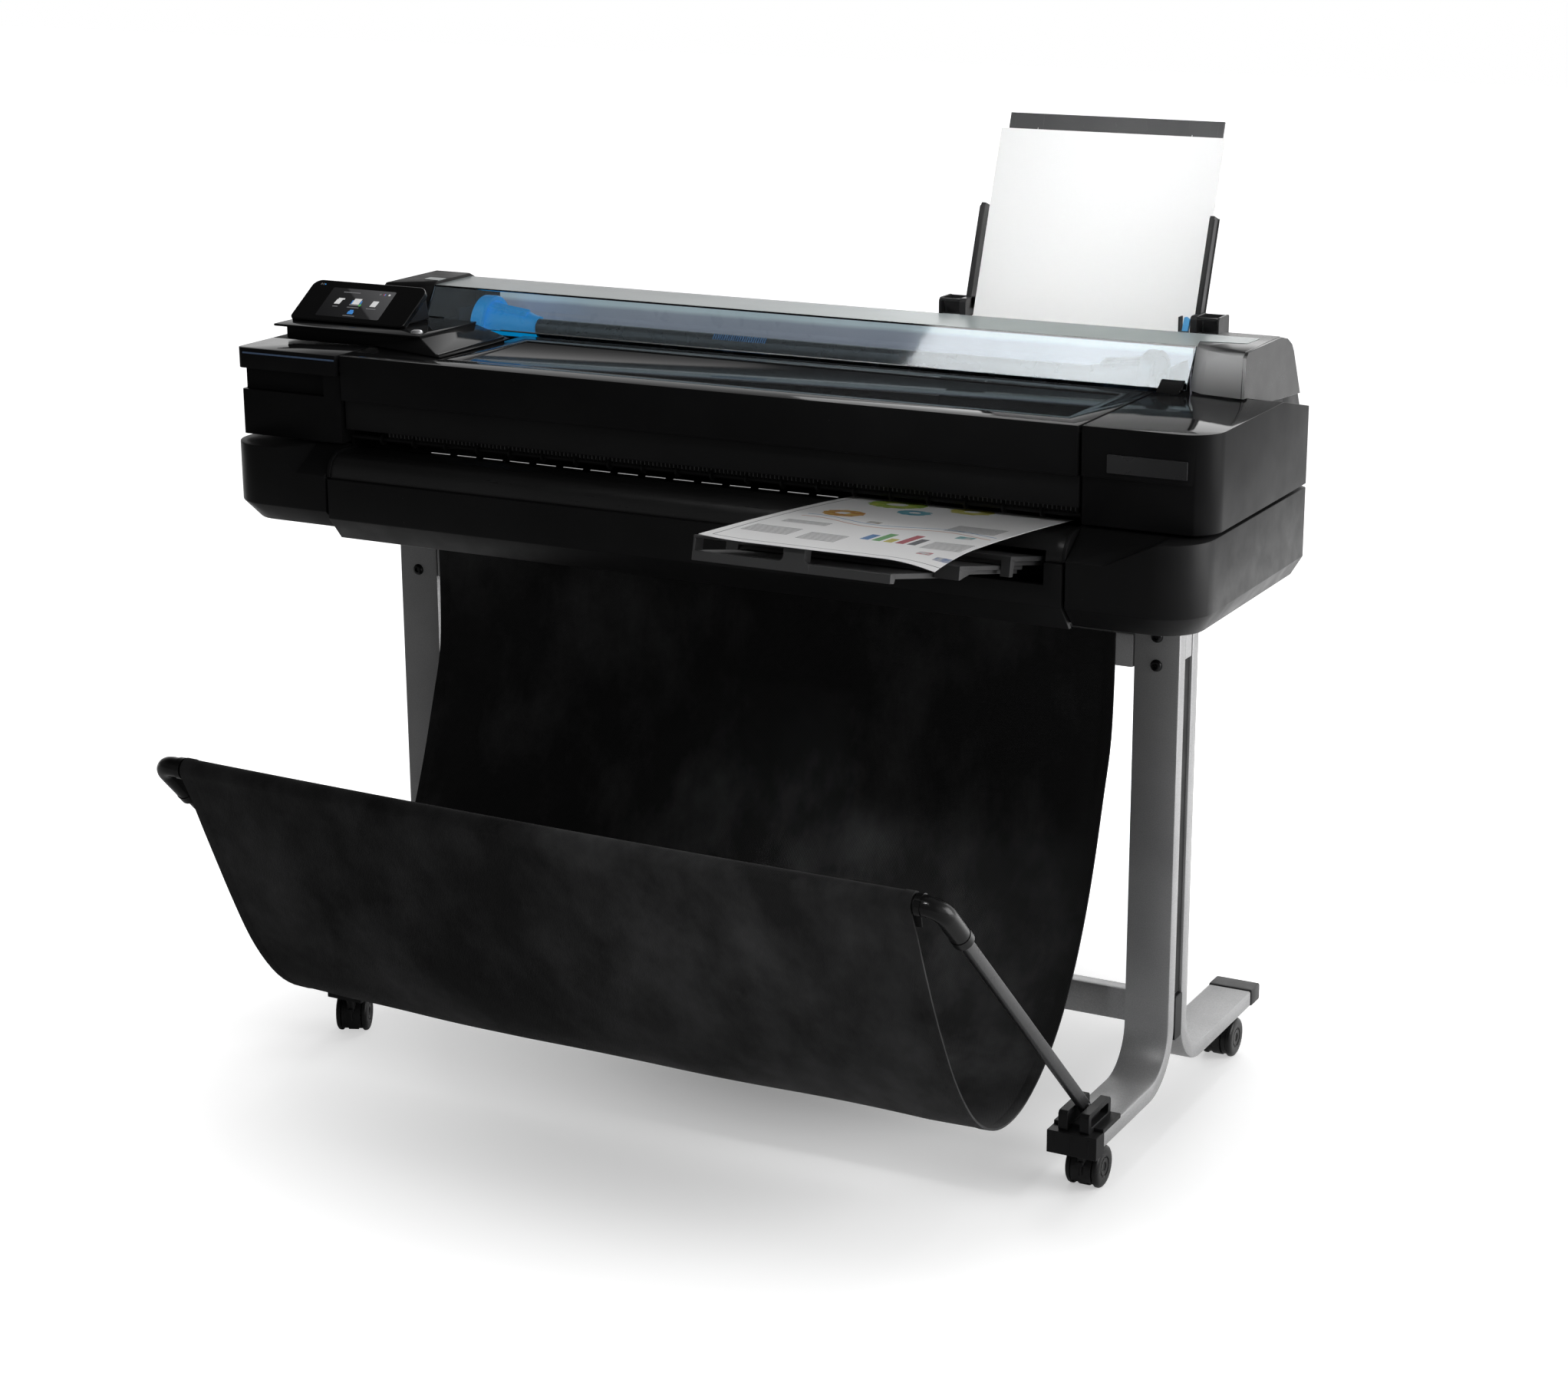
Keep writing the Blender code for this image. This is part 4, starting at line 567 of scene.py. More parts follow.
NOSE = nose_finish()
CAP_PAINTED_SHEEN = cap_finish()
CLEAR = cover_finish()
FROST = cover_top_finish()
STACK = stack_finish()
LINER_PAINTED_GLOW = liner_finish()
PLATE_GREY = moulded("name_plate", tone(0.032, 0.034), tone(0.042, 0.044), (0.24, 0.32))
PALE_BLUE_LINE = inked("pale_blue_mark", (0.16, 0.26, 0.46))
HATCH_BLUE = inked("hatch_blue", (0.1, 0.25, 0.5))
# Pale marks: the feeder's ticks, and a painted highlight along the roll cover's foot.
WHITE_MARK_AND_HIGHLIGHT = inked("white_mark_and_painted_highlight", tone(0.62))
# White platen marks with a painted glow of their own.
PLATEN_MARK_PAINTED_GLOW = inked("platen_mark_painted_glow", tone(0.75), 0.55)
PEARL = painted("pearl_button", tone(0.55, 0.56), tone(0.78, 0.79), 0.3, (0.2, 0.3))
ICON_WHITE = inked("icon_white", tone(0.75), 0.75)
ICON_GREY = inked("icon_grey", tone(0.3, 0.31), 0.35)
ICON_BLUE = inked("icon_blue", (0.06, 0.26, 0.66), 0.7)
ICON_GREEN = inked("icon_green", (0.1, 0.45, 0.1), 0.7)
ICON_RED = inked("icon_red", (0.55, 0.06, 0.1), 0.6)
LED_BLUE = inked("led_blue", (0.05, 0.35, 0.9), 1.0)


def screen_finish():
    """The touch screen: a dark field that turns paler to its upper right, past a slanted edge."""
    made = Finish("touch_screen", tone(0.02), 0.12)
    x, _, z = made.axes(made.coords())
    rise = made.times(made.minus(z, 0.96), 2.2)
    way = made.plus(made.plus(x, 0.571), rise)
    shade = made.ramp(made.spread(way, 0.0, 1.0, -0.075, 0.075),
                      ((0.0, tone(0.01, 0.011)), (0.5, tone(0.02, 0.021)), (0.53, tone(0.075, 0.078)),
                       (1.0, tone(0.13, 0.134))))
    made.to(shade, "Base Color").to(shade, "Emission Color").to(0.45, "Emission Strength")
    return made.rough(0.09, 0.15, 0.02, 3.0)


def print_finish():
    """A generic chart print in the sheet's own coordinates: rings, bars, blocks and ruled lines."""
    made = paper_finish("printed_paper", tone(0.86))
    u, v, _ = made.axes(made.coords(source="UV"))

    def near(value, middle, half):
        return made.math("LESS_THAN", made.math("ABSOLUTE", made.minus(value, middle)), half)

    def block(u0, v0, u1, v1):
        return made.times(near(u, (u0 + u1) / 2, (u1 - u0) / 2), near(v, (v0 + v1) / 2, (v1 - v0) / 2))

    def ruled(mask, value, pitch, share):
        lines = made.math("LESS_THAN", made.math("FRACT", made.math("DIVIDE", value, pitch)), share)
        return made.times(mask, lines)

    shade = made.base()
    mottle = made.noise(0.012, 4.0, 0.6, source="UV")
    marks = []
    for u0, v0, radius, colour, paler in (
            (0.075, 0.335, 0.034, (0.22, 0.42, 0.06), (0.52, 0.56, 0.1)),
            (0.165, 0.345, 0.026, (0.55, 0.5, 0.06), (0.62, 0.6, 0.22)),
            (0.12, 0.285, 0.02, (0.06, 0.3, 0.42), (0.2, 0.45, 0.5)),
            (0.06, 0.225, 0.024, (0.5, 0.2, 0.05), (0.62, 0.42, 0.1))):
        away = made.away(made.minus(u, u0), made.minus(v, v0))
        edge = made.plus(away, made.times(made.minus(mottle, 0.5), 0.014))
        inside = made.math("LESS_THAN", edge, radius)
        ring = made.times(inside, made.math("GREATER_THAN", edge, radius * 0.35))
        marks.append((ring, made.ramp(mottle, ((0.4, colour), (0.6, paler)))))
    bars = ((0.15, 0.118, (0.05, 0.18, 0.42)), (0.164, 0.134, (0.1, 0.34, 0.1)), (0.178, 0.108, (0.48, 0.42, 0.05)),
            (0.192, 0.142, (0.4, 0.05, 0.07)), (0.206, 0.124, tone(0.07, 0.08)))
    for u0, top, colour in bars:
        marks.append((block(u0, 0.085, u0 + 0.01, top), colour))
    for u0, v0, u1, v1 in ((0.018, 0.06, 0.075, 0.1), (0.09, 0.05, 0.136, 0.092), (0.225, 0.075, 0.272, 0.12),
                           (0.2, 0.19, 0.26, 0.235), (0.03, 0.13, 0.085, 0.15)):
        marks.append((ruled(block(u0, v0, u1, v1), v, 0.0046, 0.42), tone(0.035, 0.038)))
    for u0, v0, side, colour in ((0.236, 0.044, 0.016, (0.42, 0.04, 0.06)), (0.262, 0.03, 0.018, (0.1, 0.16, 0.34)),
                                 (0.232, 0.15, 0.02, (0.08, 0.3, 0.3)), (0.11, 0.18, 0.016, (0.34, 0.3, 0.24))):
        shades = made.ramp(mottle, ((0.42, colour), (0.62, tone(0.5))))
        marks.append((block(u0, v0, u0 + side, v0 + side * 0.8), shades))
    wave = made.plus(made.times(made.math("SINE", made.times(u, 38.0)), 0.012), 0.17)
    for rise, colour in ((0.0, (0.5, 0.16, 0.04)), (0.016, (0.06, 0.22, 0.46))):
        line = near(made.minus(v, wave), rise, 0.001)
        marks.append((made.times(line, near(u, 0.15, 0.12)), colour))
    frame_mask = made.minus(block(0.01, 0.012, 0.287, 0.372), block(0.0112, 0.0132, 0.2858, 0.3708))
    marks.append((frame_mask, tone(0.1, 0.11)))
    for mask, colour in marks:
        shade = made.mix(mask, shade, colour)
    return made.to(shade, "Base Color")


SCREEN = screen_finish()
PRINT = print_finish()


# Camera, light and floor


def make_camera():
    sin_az, cos_az = math.sin(CAMERA_AZ), math.cos(CAMERA_AZ)
    back = Vector((sin_az * math.cos(CAMERA_EL), -cos_az * math.cos(CAMERA_EL), math.sin(CAMERA_EL)))
    right = Vector((cos_az, sin_az, 0.0))
    up = back.cross(right)
    c, s = math.cos(CAMERA_ROLL), math.sin(CAMERA_ROLL)
    rolled_right = right * c + up * s
    rolled_up = up * c - right * s
    lens = bpy.data.cameras.new("camera")
    lens.sensor_fit = "HORIZONTAL"
    lens.sensor_width = SENSOR
    lens.lens = CAMERA_FOCAL * SENSOR / IMAGE_W
    made = bpy.data.objects.new("camera", lens)
    turn = Matrix((rolled_right, rolled_up, back)).transposed().to_4x4()
    made.matrix_world = Matrix.Translation(Vector(CAMERA_AT) + Vector((0.0, STAND_Y, 0.0))) @ turn
    bpy.context.scene.collection.objects.link(made)
    bpy.context.scene.camera = made


def area_light(name, at, aim, size, radiance, spread=180.0):
    """A softbox of a given radiance along its axis; a spread under 180 degrees stands for a grid on it."""
    half = math.radians(spread) / 2
    focus = 1.0 if spread == 180.0 else math.tan(half) / (math.tan(half) - half)
    lamp = bpy.data.lights.new(name, "AREA")
    lamp.shape = "RECTANGLE"
    lamp.size, lamp.size_y = size
    lamp.spread = 2 * half
    lamp.energy = radiance * math.pi * size[0] * size[1] / focus
    made = bpy.data.objects.new(name, lamp)
    made.location = at
    made.rotation_euler = (Vector(aim) - Vector(at)).to_track_quat("-Z", "Y").to_euler()
    bpy.context.scene.collection.objects.link(made)


def make_world():
    """A white sweep behind and beside the object, a dimmer room in front, and plain white to the camera."""
    world = bpy.data.worlds.new("studio")
    bpy.context.scene.world = world
    sky = Nodes(world)
    way = sky.node("ShaderNodeTexCoord").outputs["Generated"]
    sweep = sky.spread(sky.facing(way, Vector((0.5, 0.85, 0.0)).normalized()), 0.125, 0.95, -0.35, 0.45)
    fall = sky.spread(sky.axes(way)["Z"], 1.0, 0.22, 0.34, 0.74)
    background = sky.tree.nodes["Background"].inputs
    sky.feed(background["Color"], tone(1.0))
    sky.feed(background["Strength"], sky.math("MAXIMUM", sky.seen()[1], sky.times(sweep, fall)))


def make_floor():
    """A pale floor that keeps the shadow near the object and runs out to plain white for the camera; its glow is
    weakest around the object, a painted shade there on top of the real shadow.
    """
    made = Finish("studio_floor", tone(0.8), 0.85, emission_color=tone(1.0))
    made.shades(tone(0.79), tone(0.81), 0.8, 3.0)
    path, seen = made.seen()
    x, y, _ = made.axes(made.coords())
    behind = made.times(path["Is Glossy Ray"], made.spread(y, 0.0, 1.0, 0.0, 1.2))
    seen = made.math("MAXIMUM", seen, behind)
    # A glow that is weakest around the object's footprint and full far off: painted shade near the object.
    across = made.math("DIVIDE", made.minus(x, 0.05), 1.35)
    along = made.math("DIVIDE", made.minus(y, 0.14), 1.08)
    levels = ((0.12, 0.03), (0.24, 0.22), (0.38, 0.38), (0.58, 0.74), (0.76, 1.0))
    glow = made.ramp(made.away(across, along), [(place, tone(level)) for place, level in levels])
    made.to(made.times(seen, glow), "Emission Strength")
    mesh = bpy.data.meshes.new("floor")
    reach = 14.0
    front = -2.4
    corners = [(-reach, front, 0.0), (reach, front, 0.0), (reach, reach, 0.0), (-reach, reach, 0.0)]
    mesh.from_pydata(corners, [], [(0, 1, 2, 3)])
    mesh.materials.append(made.made)
    floor = bpy.data.objects.new("floor", mesh)
    bpy.context.scene.collection.objects.link(floor)


def make_stage():
    make_camera()
    make_world()
    make_floor()
    area_light("right_softbox", (3.3, 0.8, 1.15), (0.5, 0.1, 0.75), (2.2, 1.8), 4.2)
    area_light("top_softbox", (0.2, 2.9, 2.5), (0.0, 0.1, 0.8), (3.2, 1.5), 2.8)
    area_light("front_softbox", (-0.72, -1.5, 3.25), (0.4, 0.12, 0.97), (0.75, 0.45), 10.0, 26.0)
    area_light("stack_softbox", (1.0, -1.3, 3.3), (0.34, 0.42, 1.12), (0.6, 0.5), 195.0, 18.0)
    area_light("tray_softbox", (0.5, -2.4, 2.6), (0.31, -0.62, 0.8), (0.36, 0.26), 200.0, 12.0)
    bpy.context.scene.view_settings.view_transform = "Standard"


# Stand


LEG_X, LEG_W, LEG_INSET = 0.527, 0.0585, 0.006
LEG_FRONT_Y = -0.0395
GAP_Y = (-0.0181, 0.0031)


def make_leg_trim():
    for side, name in SIDES:
        for way, where in ((1, "outer"), (-1, "inner")):
            face = side * LEG_X + side * way * (LEG_W / 2 - LEG_INSET)
            out = side * way
            low, high = span(out, GAP, 0.0026, face)
            strip = Shape().box((GAP_Y[0], 0.176, low), (GAP_Y[1], 0.6, high), "X")
            strip.piece(f"{name}_leg_{where}_gap", MATT, "matt_black", bevel=0.0004)
            low, high = span(out, GAP, 0.0048, face)
            block = Shape().box((GAP_Y[0], 0.602, low), (GAP_Y[1], 0.69, high), "X")
            block.piece(f"{name}_leg_{where}_block", SILVER, "silver_paint", bevel=0.001)
            low, high = span(out, GAP, 0.0066, face)
            outline = round_box(GAP_Y[0] - 0.001, 0.116, GAP_Y[1] + 0.001, 0.1735, 0.003)
            plug = Shape().prism(outline, "X", low, high)
            plug.piece(f"{name}_leg_{where}_plug", SATIN, "satin_black", bevel=0.0008)
        for index, z in enumerate((0.6425 if side < 0 else 0.6325, 0.597)):
            screw = Shape()
            screw.turned(((0.0, 0.0016), (0.0028, 0.0016), (0.0033, 0.0042), (0.0052, 0.004), (0.0068, 0.0025),
                          (0.0075, 0.0006), (0.0075, -0.0004), (0.0, -0.0004)),
                         (side * LEG_X, LEG_FRONT_Y, z), (0.0, -1.0, 0.0), steps=24)
            screw.piece(f"{name}_leg_screw_{index + 1}", ELBOW, "gloss_black")


FOOT_Z, FOOT_TOP_Z, FOOT_FRONT_Y = 0.062, 0.083, -0.245
BRACKET_W, BRACKET_NOSE_Y, BRACKET_REAR_Y = 0.063, -0.27, -0.195


def make_brackets():
    """The moulded feet of the bin arms: a nose, a slab over the foot and two ears like open frames."""
    for side, name in SIDES:
        middle = side * LEG_X
        half = BRACKET_W / 2
        left, nose = (middle - half, BRACKET_NOSE_Y) if side > 0 else (middle - 0.022, -0.256)
        slab_z = FOOT_TOP_Z + GAP
        made = Shape().box((left, nose, FOOT_Z - 0.005), (middle + half, FOOT_FRONT_Y - GAP, slab_z + 0.002))
        made.box((left, FOOT_FRONT_Y - 0.004, slab_z), (middle + half, BRACKET_REAR_Y, slab_z + 0.006))
        for way in (-1, 1):
            low, high = span(way, 0.0075, 0.0195, middle)
            outer = round_box(nose + 0.005, slab_z + 0.001, BRACKET_REAR_Y - 0.002, slab_z + 0.027, 0.005)
            window = round_box(nose + 0.013, slab_z + 0.008, BRACKET_REAR_Y - 0.01, slab_z + 0.021, 0.003)
            made.plate(outer, [window], "X", low, high)
            web_low, web_high = span(way, 0.0078, 0.01, middle)
            made.box((nose + 0.01, slab_z + 0.005, web_low), (BRACKET_REAR_Y - 0.006, slab_z + 0.024, web_high), "X")
        for rib in range(3):
            rib_x = left + 0.01 + rib * (middle + half - left - 0.02) / 2
            made.box((rib_x - 0.0012, nose - 0.0004, FOOT_Z - 0.001), (rib_x + 0.0012, nose + 0.002, slab_z - 0.002))
        made.piece(name + "_foot_bracket_frame", SATIN, "satin_black", replaces=(name + "_foot_bracket",), bevel=0.0011)


CASTERS = (("left_front", -1, -0.235, 24.0), ("right_front", 1, -0.235, 0.0),
           ("left_rear", -1, 0.2555, 180.0), ("right_rear", 1, 0.2555, 180.0))
TRAIL, WHEEL_R = 0.02, 0.026


def make_casters():
    half = ((0.0, 0.0192), (0.0052, 0.0192), (0.006, 0.0203), (0.0105, 0.0206), (0.0112, 0.0194), (0.0124, 0.0194),
            (0.0132, 0.0208), (0.0195, 0.0213), (0.0232, 0.0205), (0.0252, 0.019), (WHEEL_R, 0.0172), (WHEEL_R, 0.0146),
            (0.025, 0.0136), (0.0235, 0.0134), (0.0235, 0.007), (0.0035, 0.007))
    profile = list(half) + [(radius, -x) for radius, x in reversed(half)]
    for name, side, y, turn in CASTERS:
        place = Matrix.Translation((side * LEG_X, y, 0.0)) @ Matrix.Rotation(math.radians(turn), 4, "Z")
        wheels = Shape().turned(profile, (0.0, TRAIL, WHEEL_R), steps=48).turn(place)
        wheels.piece(name + "_wheel_pair", WHEEL, "wheel_rubber", name + "_wheels", (name + "_caster_wheels",))
        outline = rounded(((-0.0045, 0.0385, 0.001), (0.0045, 0.0385, 0.001), (0.0045, 0.0345, 0.001),
                           (0.0022, 0.0345, 0.0), (0.0022, 0.0215, 0.001), (-0.0022, 0.0215, 0.001),
                           (-0.0022, 0.0345, 0.0), (-0.0045, 0.0345, 0.001)), 2)
        lever = Shape().prism(outline, "Y", TRAIL - 0.0292, TRAIL - 0.0262).turn(place)
        lever.piece(name + "_caster_lever", SATIN, "satin_black", name + "_swivel", bevel=0.0005)
        skin(name + "_caster_hood", WHEEL, "satin_black", bevel=0.0006)


# Bin


BAR_Y, BAR_Z, BAR_R = -0.588, 0.466, 0.0095
BAR_END = {-1: 0.4935, 1: 0.4775}
BAR_LEAN = 0.0105
BAR_SAG = 0.0032
ELBOW_X = {-1: 0.53, 1: 0.504}
PIVOT_Y, PIVOT_Z = -0.232, 0.107
CLOTH_LEFT, CLOTH_RIGHT = -0.491, 0.475
CLOTH_T, HEM_T, HEM_W = 0.0012, 0.0026, 0.013
SLEEVE_R, SLEEVE_STEPS = 0.0125, 22
CLOTH_PATH = ((-0.0413, 0.6317), (-0.0413, 0.59), (-0.045, 0.5), (-0.064, 0.432), (-0.088, 0.36), (-0.116, 0.292),
              (-0.15, 0.23), (-0.192, 0.176), (-0.245, 0.135), (-0.305, 0.112), (-0.367, 0.115), (-0.426, 0.147),
              (-0.478, 0.208), (-0.523, 0.29), (-0.558, 0.368), (-0.583, 0.428))
SLEEVE_TAIL = ((-0.5735, 0.448), (-0.5705, 0.434))


def smooth_path(points, steps):
    """Points on a Catmull-Rom curve through the given ones."""
    points = [Vector(p) for p in points]
    made = []
    for i in range(len(points) - 1):
        p0, p1, p2, p3 = points[max(i - 1, 0)], points[i], points[i + 1], points[min(i + 2, len(points) - 1)]
        for step in range(steps):
            t = step / steps
            made.append(0.5 * ((2 * p1) + (p2 - p0) * t + (2 * p0 - 5 * p1 + 4 * p2 - p3) * t * t
                               + (3 * p1 - p0 - 3 * p2 + p3) * t * t * t))
    return made + [points[-1]]


def bar_rise(x):
    """The bar stands a little higher to the left and sags in its middle."""
    share = (BAR_END[1] - x) / (BAR_END[1] + BAR_END[-1])
    return BAR_LEAN * share - BAR_SAG * max(0.0, 4 * share * (1 - share))


def cloth_line():
    sleeve = [Vector(p) for p in arc((BAR_Y, BAR_Z), SLEEVE_R, 196, -42, SLEEVE_STEPS)]
    return smooth_path(CLOTH_PATH, 5) + sleeve + [Vector(p) for p in SLEEVE_TAIL]


def run_along(line):
    """How far along a line each of its points lies."""
    runs = [0.0]
    for a, b in zip(line, line[1:]):
        runs.append(runs[-1] + (b - a).length)
    return runs


def closed_sheet(name, rows, columns, place, finish, body, slot, node, turned=False):
    """A sheet of two layers, the second one with turned faces if asked for.

    place(way, row, column) gives a point in the stand's frame and its flat coordinates."""
    work = bmesh.new()
    layer = work.loops.layers.uv.new("UVMap")
    flat = {}
    layers = []

    def pave(first, second, back=False):
        for k in range(len(first) - 1):
            corners = (first[k], first[k + 1], second[k + 1], second[k])
            work.faces.new(corners[::-1] if back else corners)

    for way in (-1, 1):
        grid = []
        for i in range(rows):
            grid.append([])
            for k in range(columns):
                (x, y, z), at = place(way, i, k)
                vert = work.verts.new((x, y + STAND_Y, z))
                flat[vert] = at
                grid[-1].append(vert)
        layers.append(grid)
    low, high = layers
    for grid, back in ((low, False), (high, turned)):
        for first, second in zip(grid, grid[1:]):
            pave(first, second, back)
    for i in (0, -1):
        pave(low[i], high[i])
    for i in (0, -1):
        pave([row[i] for row in low], [row[i] for row in high])
    bmesh.ops.recalc_face_normals(work, faces=work.faces)
    for face in work.faces:
        for loop in face.loops:
            loop[layer].uv = flat[loop.vert]
    mesh = bpy.data.meshes.new(name)
    work.to_mesh(mesh)
    work.free()
    return dress(bpy.data.objects.new(name, mesh), finish, body, slot, (node,), smooth=60.0)


def make_cloth():
    line = cloth_line()
    lengths = run_along(line)
    normals = []
    for i in range(len(line)):
        along = (line[min(i + 1, len(line) - 1)] - line[max(i - 1, 0)]).normalized()
        normals.append(Vector((-along.y, along.x)))
    columns = 64
    width = CLOTH_RIGHT - CLOTH_LEFT
    hems = [edge + d for edge in (CLOTH_LEFT + HEM_W, CLOTH_RIGHT - HEM_W) for d in (-0.0008, 0.0008)]
    places = sorted([CLOTH_LEFT + width * k / columns for k in range(columns + 1)] + hems)
    sag_end = lengths[-(len(SLEEVE_TAIL) + SLEEVE_STEPS + 1)]
    rise_start = 0.62

    def place(way, i, k):
        x, run = places[k], lengths[i]
        free = limited((run - 0.05) / 0.18) * limited((sag_end - run) / 0.16)
        swell = perlin.noise((x * 2.1, run * 2.6, 3.7)) * 0.0075 + perlin.noise((x * 6.0, run * 3.4, 9.1)) * 0.0022
        inset = min(x - CLOTH_LEFT, CLOTH_RIGHT - x)
        droop = -0.003 * max(0.0, 1.0 - inset / 0.075) * free
        seam = 0.0009 if 0.028 < sag_end - run < 0.031 else 0.0
        thick = HEM_T if inset < HEM_W else CLOTH_T
        y, z = line[i] + normals[i] * (free * swell + droop + way * (thick / 2) - seam)
        return (x, y, z + bar_rise(x) * limited((run - rise_start) / (sag_end - rise_start))), (x, run)

    made = closed_sheet("bin_cloth_sheet", len(line), len(places), place, CLOTH, None, "black_cloth", "bin_cloth",
                        turned=True)
    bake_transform(made, "plotter", "bin_frame", start=(0.0, -0.06 + STAND_Y, 0.4), end=(0.0, -0.568 + STAND_Y, 0.4))


def make_bin_frame():
    bend_r, bend_steps, sleeve_l = 0.02, 14, 0.074
    collar_r, elbow_r, rim_r = 0.0132, 0.012, 0.0128
    bar_steps = 24
    left, right = -BAR_END[-1], BAR_END[1]
    bar_way = Vector((right - left, 0.0, bar_rise(right) - bar_rise(left))).normalized()
    for side, name in SIDES:
        corner = Vector((side * ELBOW_X[side], BAR_Y, BAR_Z + bar_rise(side * ELBOW_X[side])))
        arm = Vector((side * LEG_X, PIVOT_Y, PIVOT_Z)) - corner
        along = arm.normalized()
        inward = bar_way * -side
        start = corner + inward * (ELBOW_X[side] - BAR_END[side] - GAP)
        bend = []
        for step in range(bend_steps + 1):
            angle = math.pi / 2 * step / bend_steps
            bend.append(corner + (along * (1 - math.cos(angle)) + inward * (1 - math.sin(angle))) * bend_r)
        end = corner + along * sleeve_l
        step = inward * -0.007
        path = [start, start + step * 0.999, start + step] + bend + [end - along * 0.012, end - along * 0.0119, end]
        radii = [collar_r] * 2 + [elbow_r] * (bend_steps + 3) + [rim_r] * 2
        elbow = Shape().tube(path, radii, 28)
        elbow.piece(name + "_bin_elbow", ELBOW, "gloss_black", "bin_frame", smooth=50.0)
        place = Matrix.Translation(corner) @ Vector((0.0, 1.0, 0.0)).rotation_difference(along).to_matrix().to_4x4()
        outline = round_box(-0.004, -0.0085, 0.004, 0.0085, 0.0024, 3)
        flat = Shape().prism(outline, "Y", sleeve_l - 0.01, arm.length + 0.0045).turn(place)
        flat.turned(((0.0, 0.0072), (0.0038, 0.0072), (0.004, 0.0068), (0.004, -0.0068), (0.0038, -0.0072),
                     (0.0, -0.0072)), (side * LEG_X, PIVOT_Y, PIVOT_Z), steps=20)
        flat.piece(name + "_bin_strut", BAR_METAL, "dark_metal", "bin_frame", (name + "_bin_arm",), bevel=0.0008)
    places = [left + (right - left) * i / bar_steps for i in range(bar_steps + 1)]
    bar = Shape().tube([(x, BAR_Y, BAR_Z + bar_rise(x)) for x in places], BAR_R, 24)
    bar.piece("bin_front_bar", BAR_METAL, "dark_metal", "bin_frame", ("bin_bar",))


# Casing details


DECK_Z, FRONT_Y, HALF_W = 0.918, -0.229, 0.6585


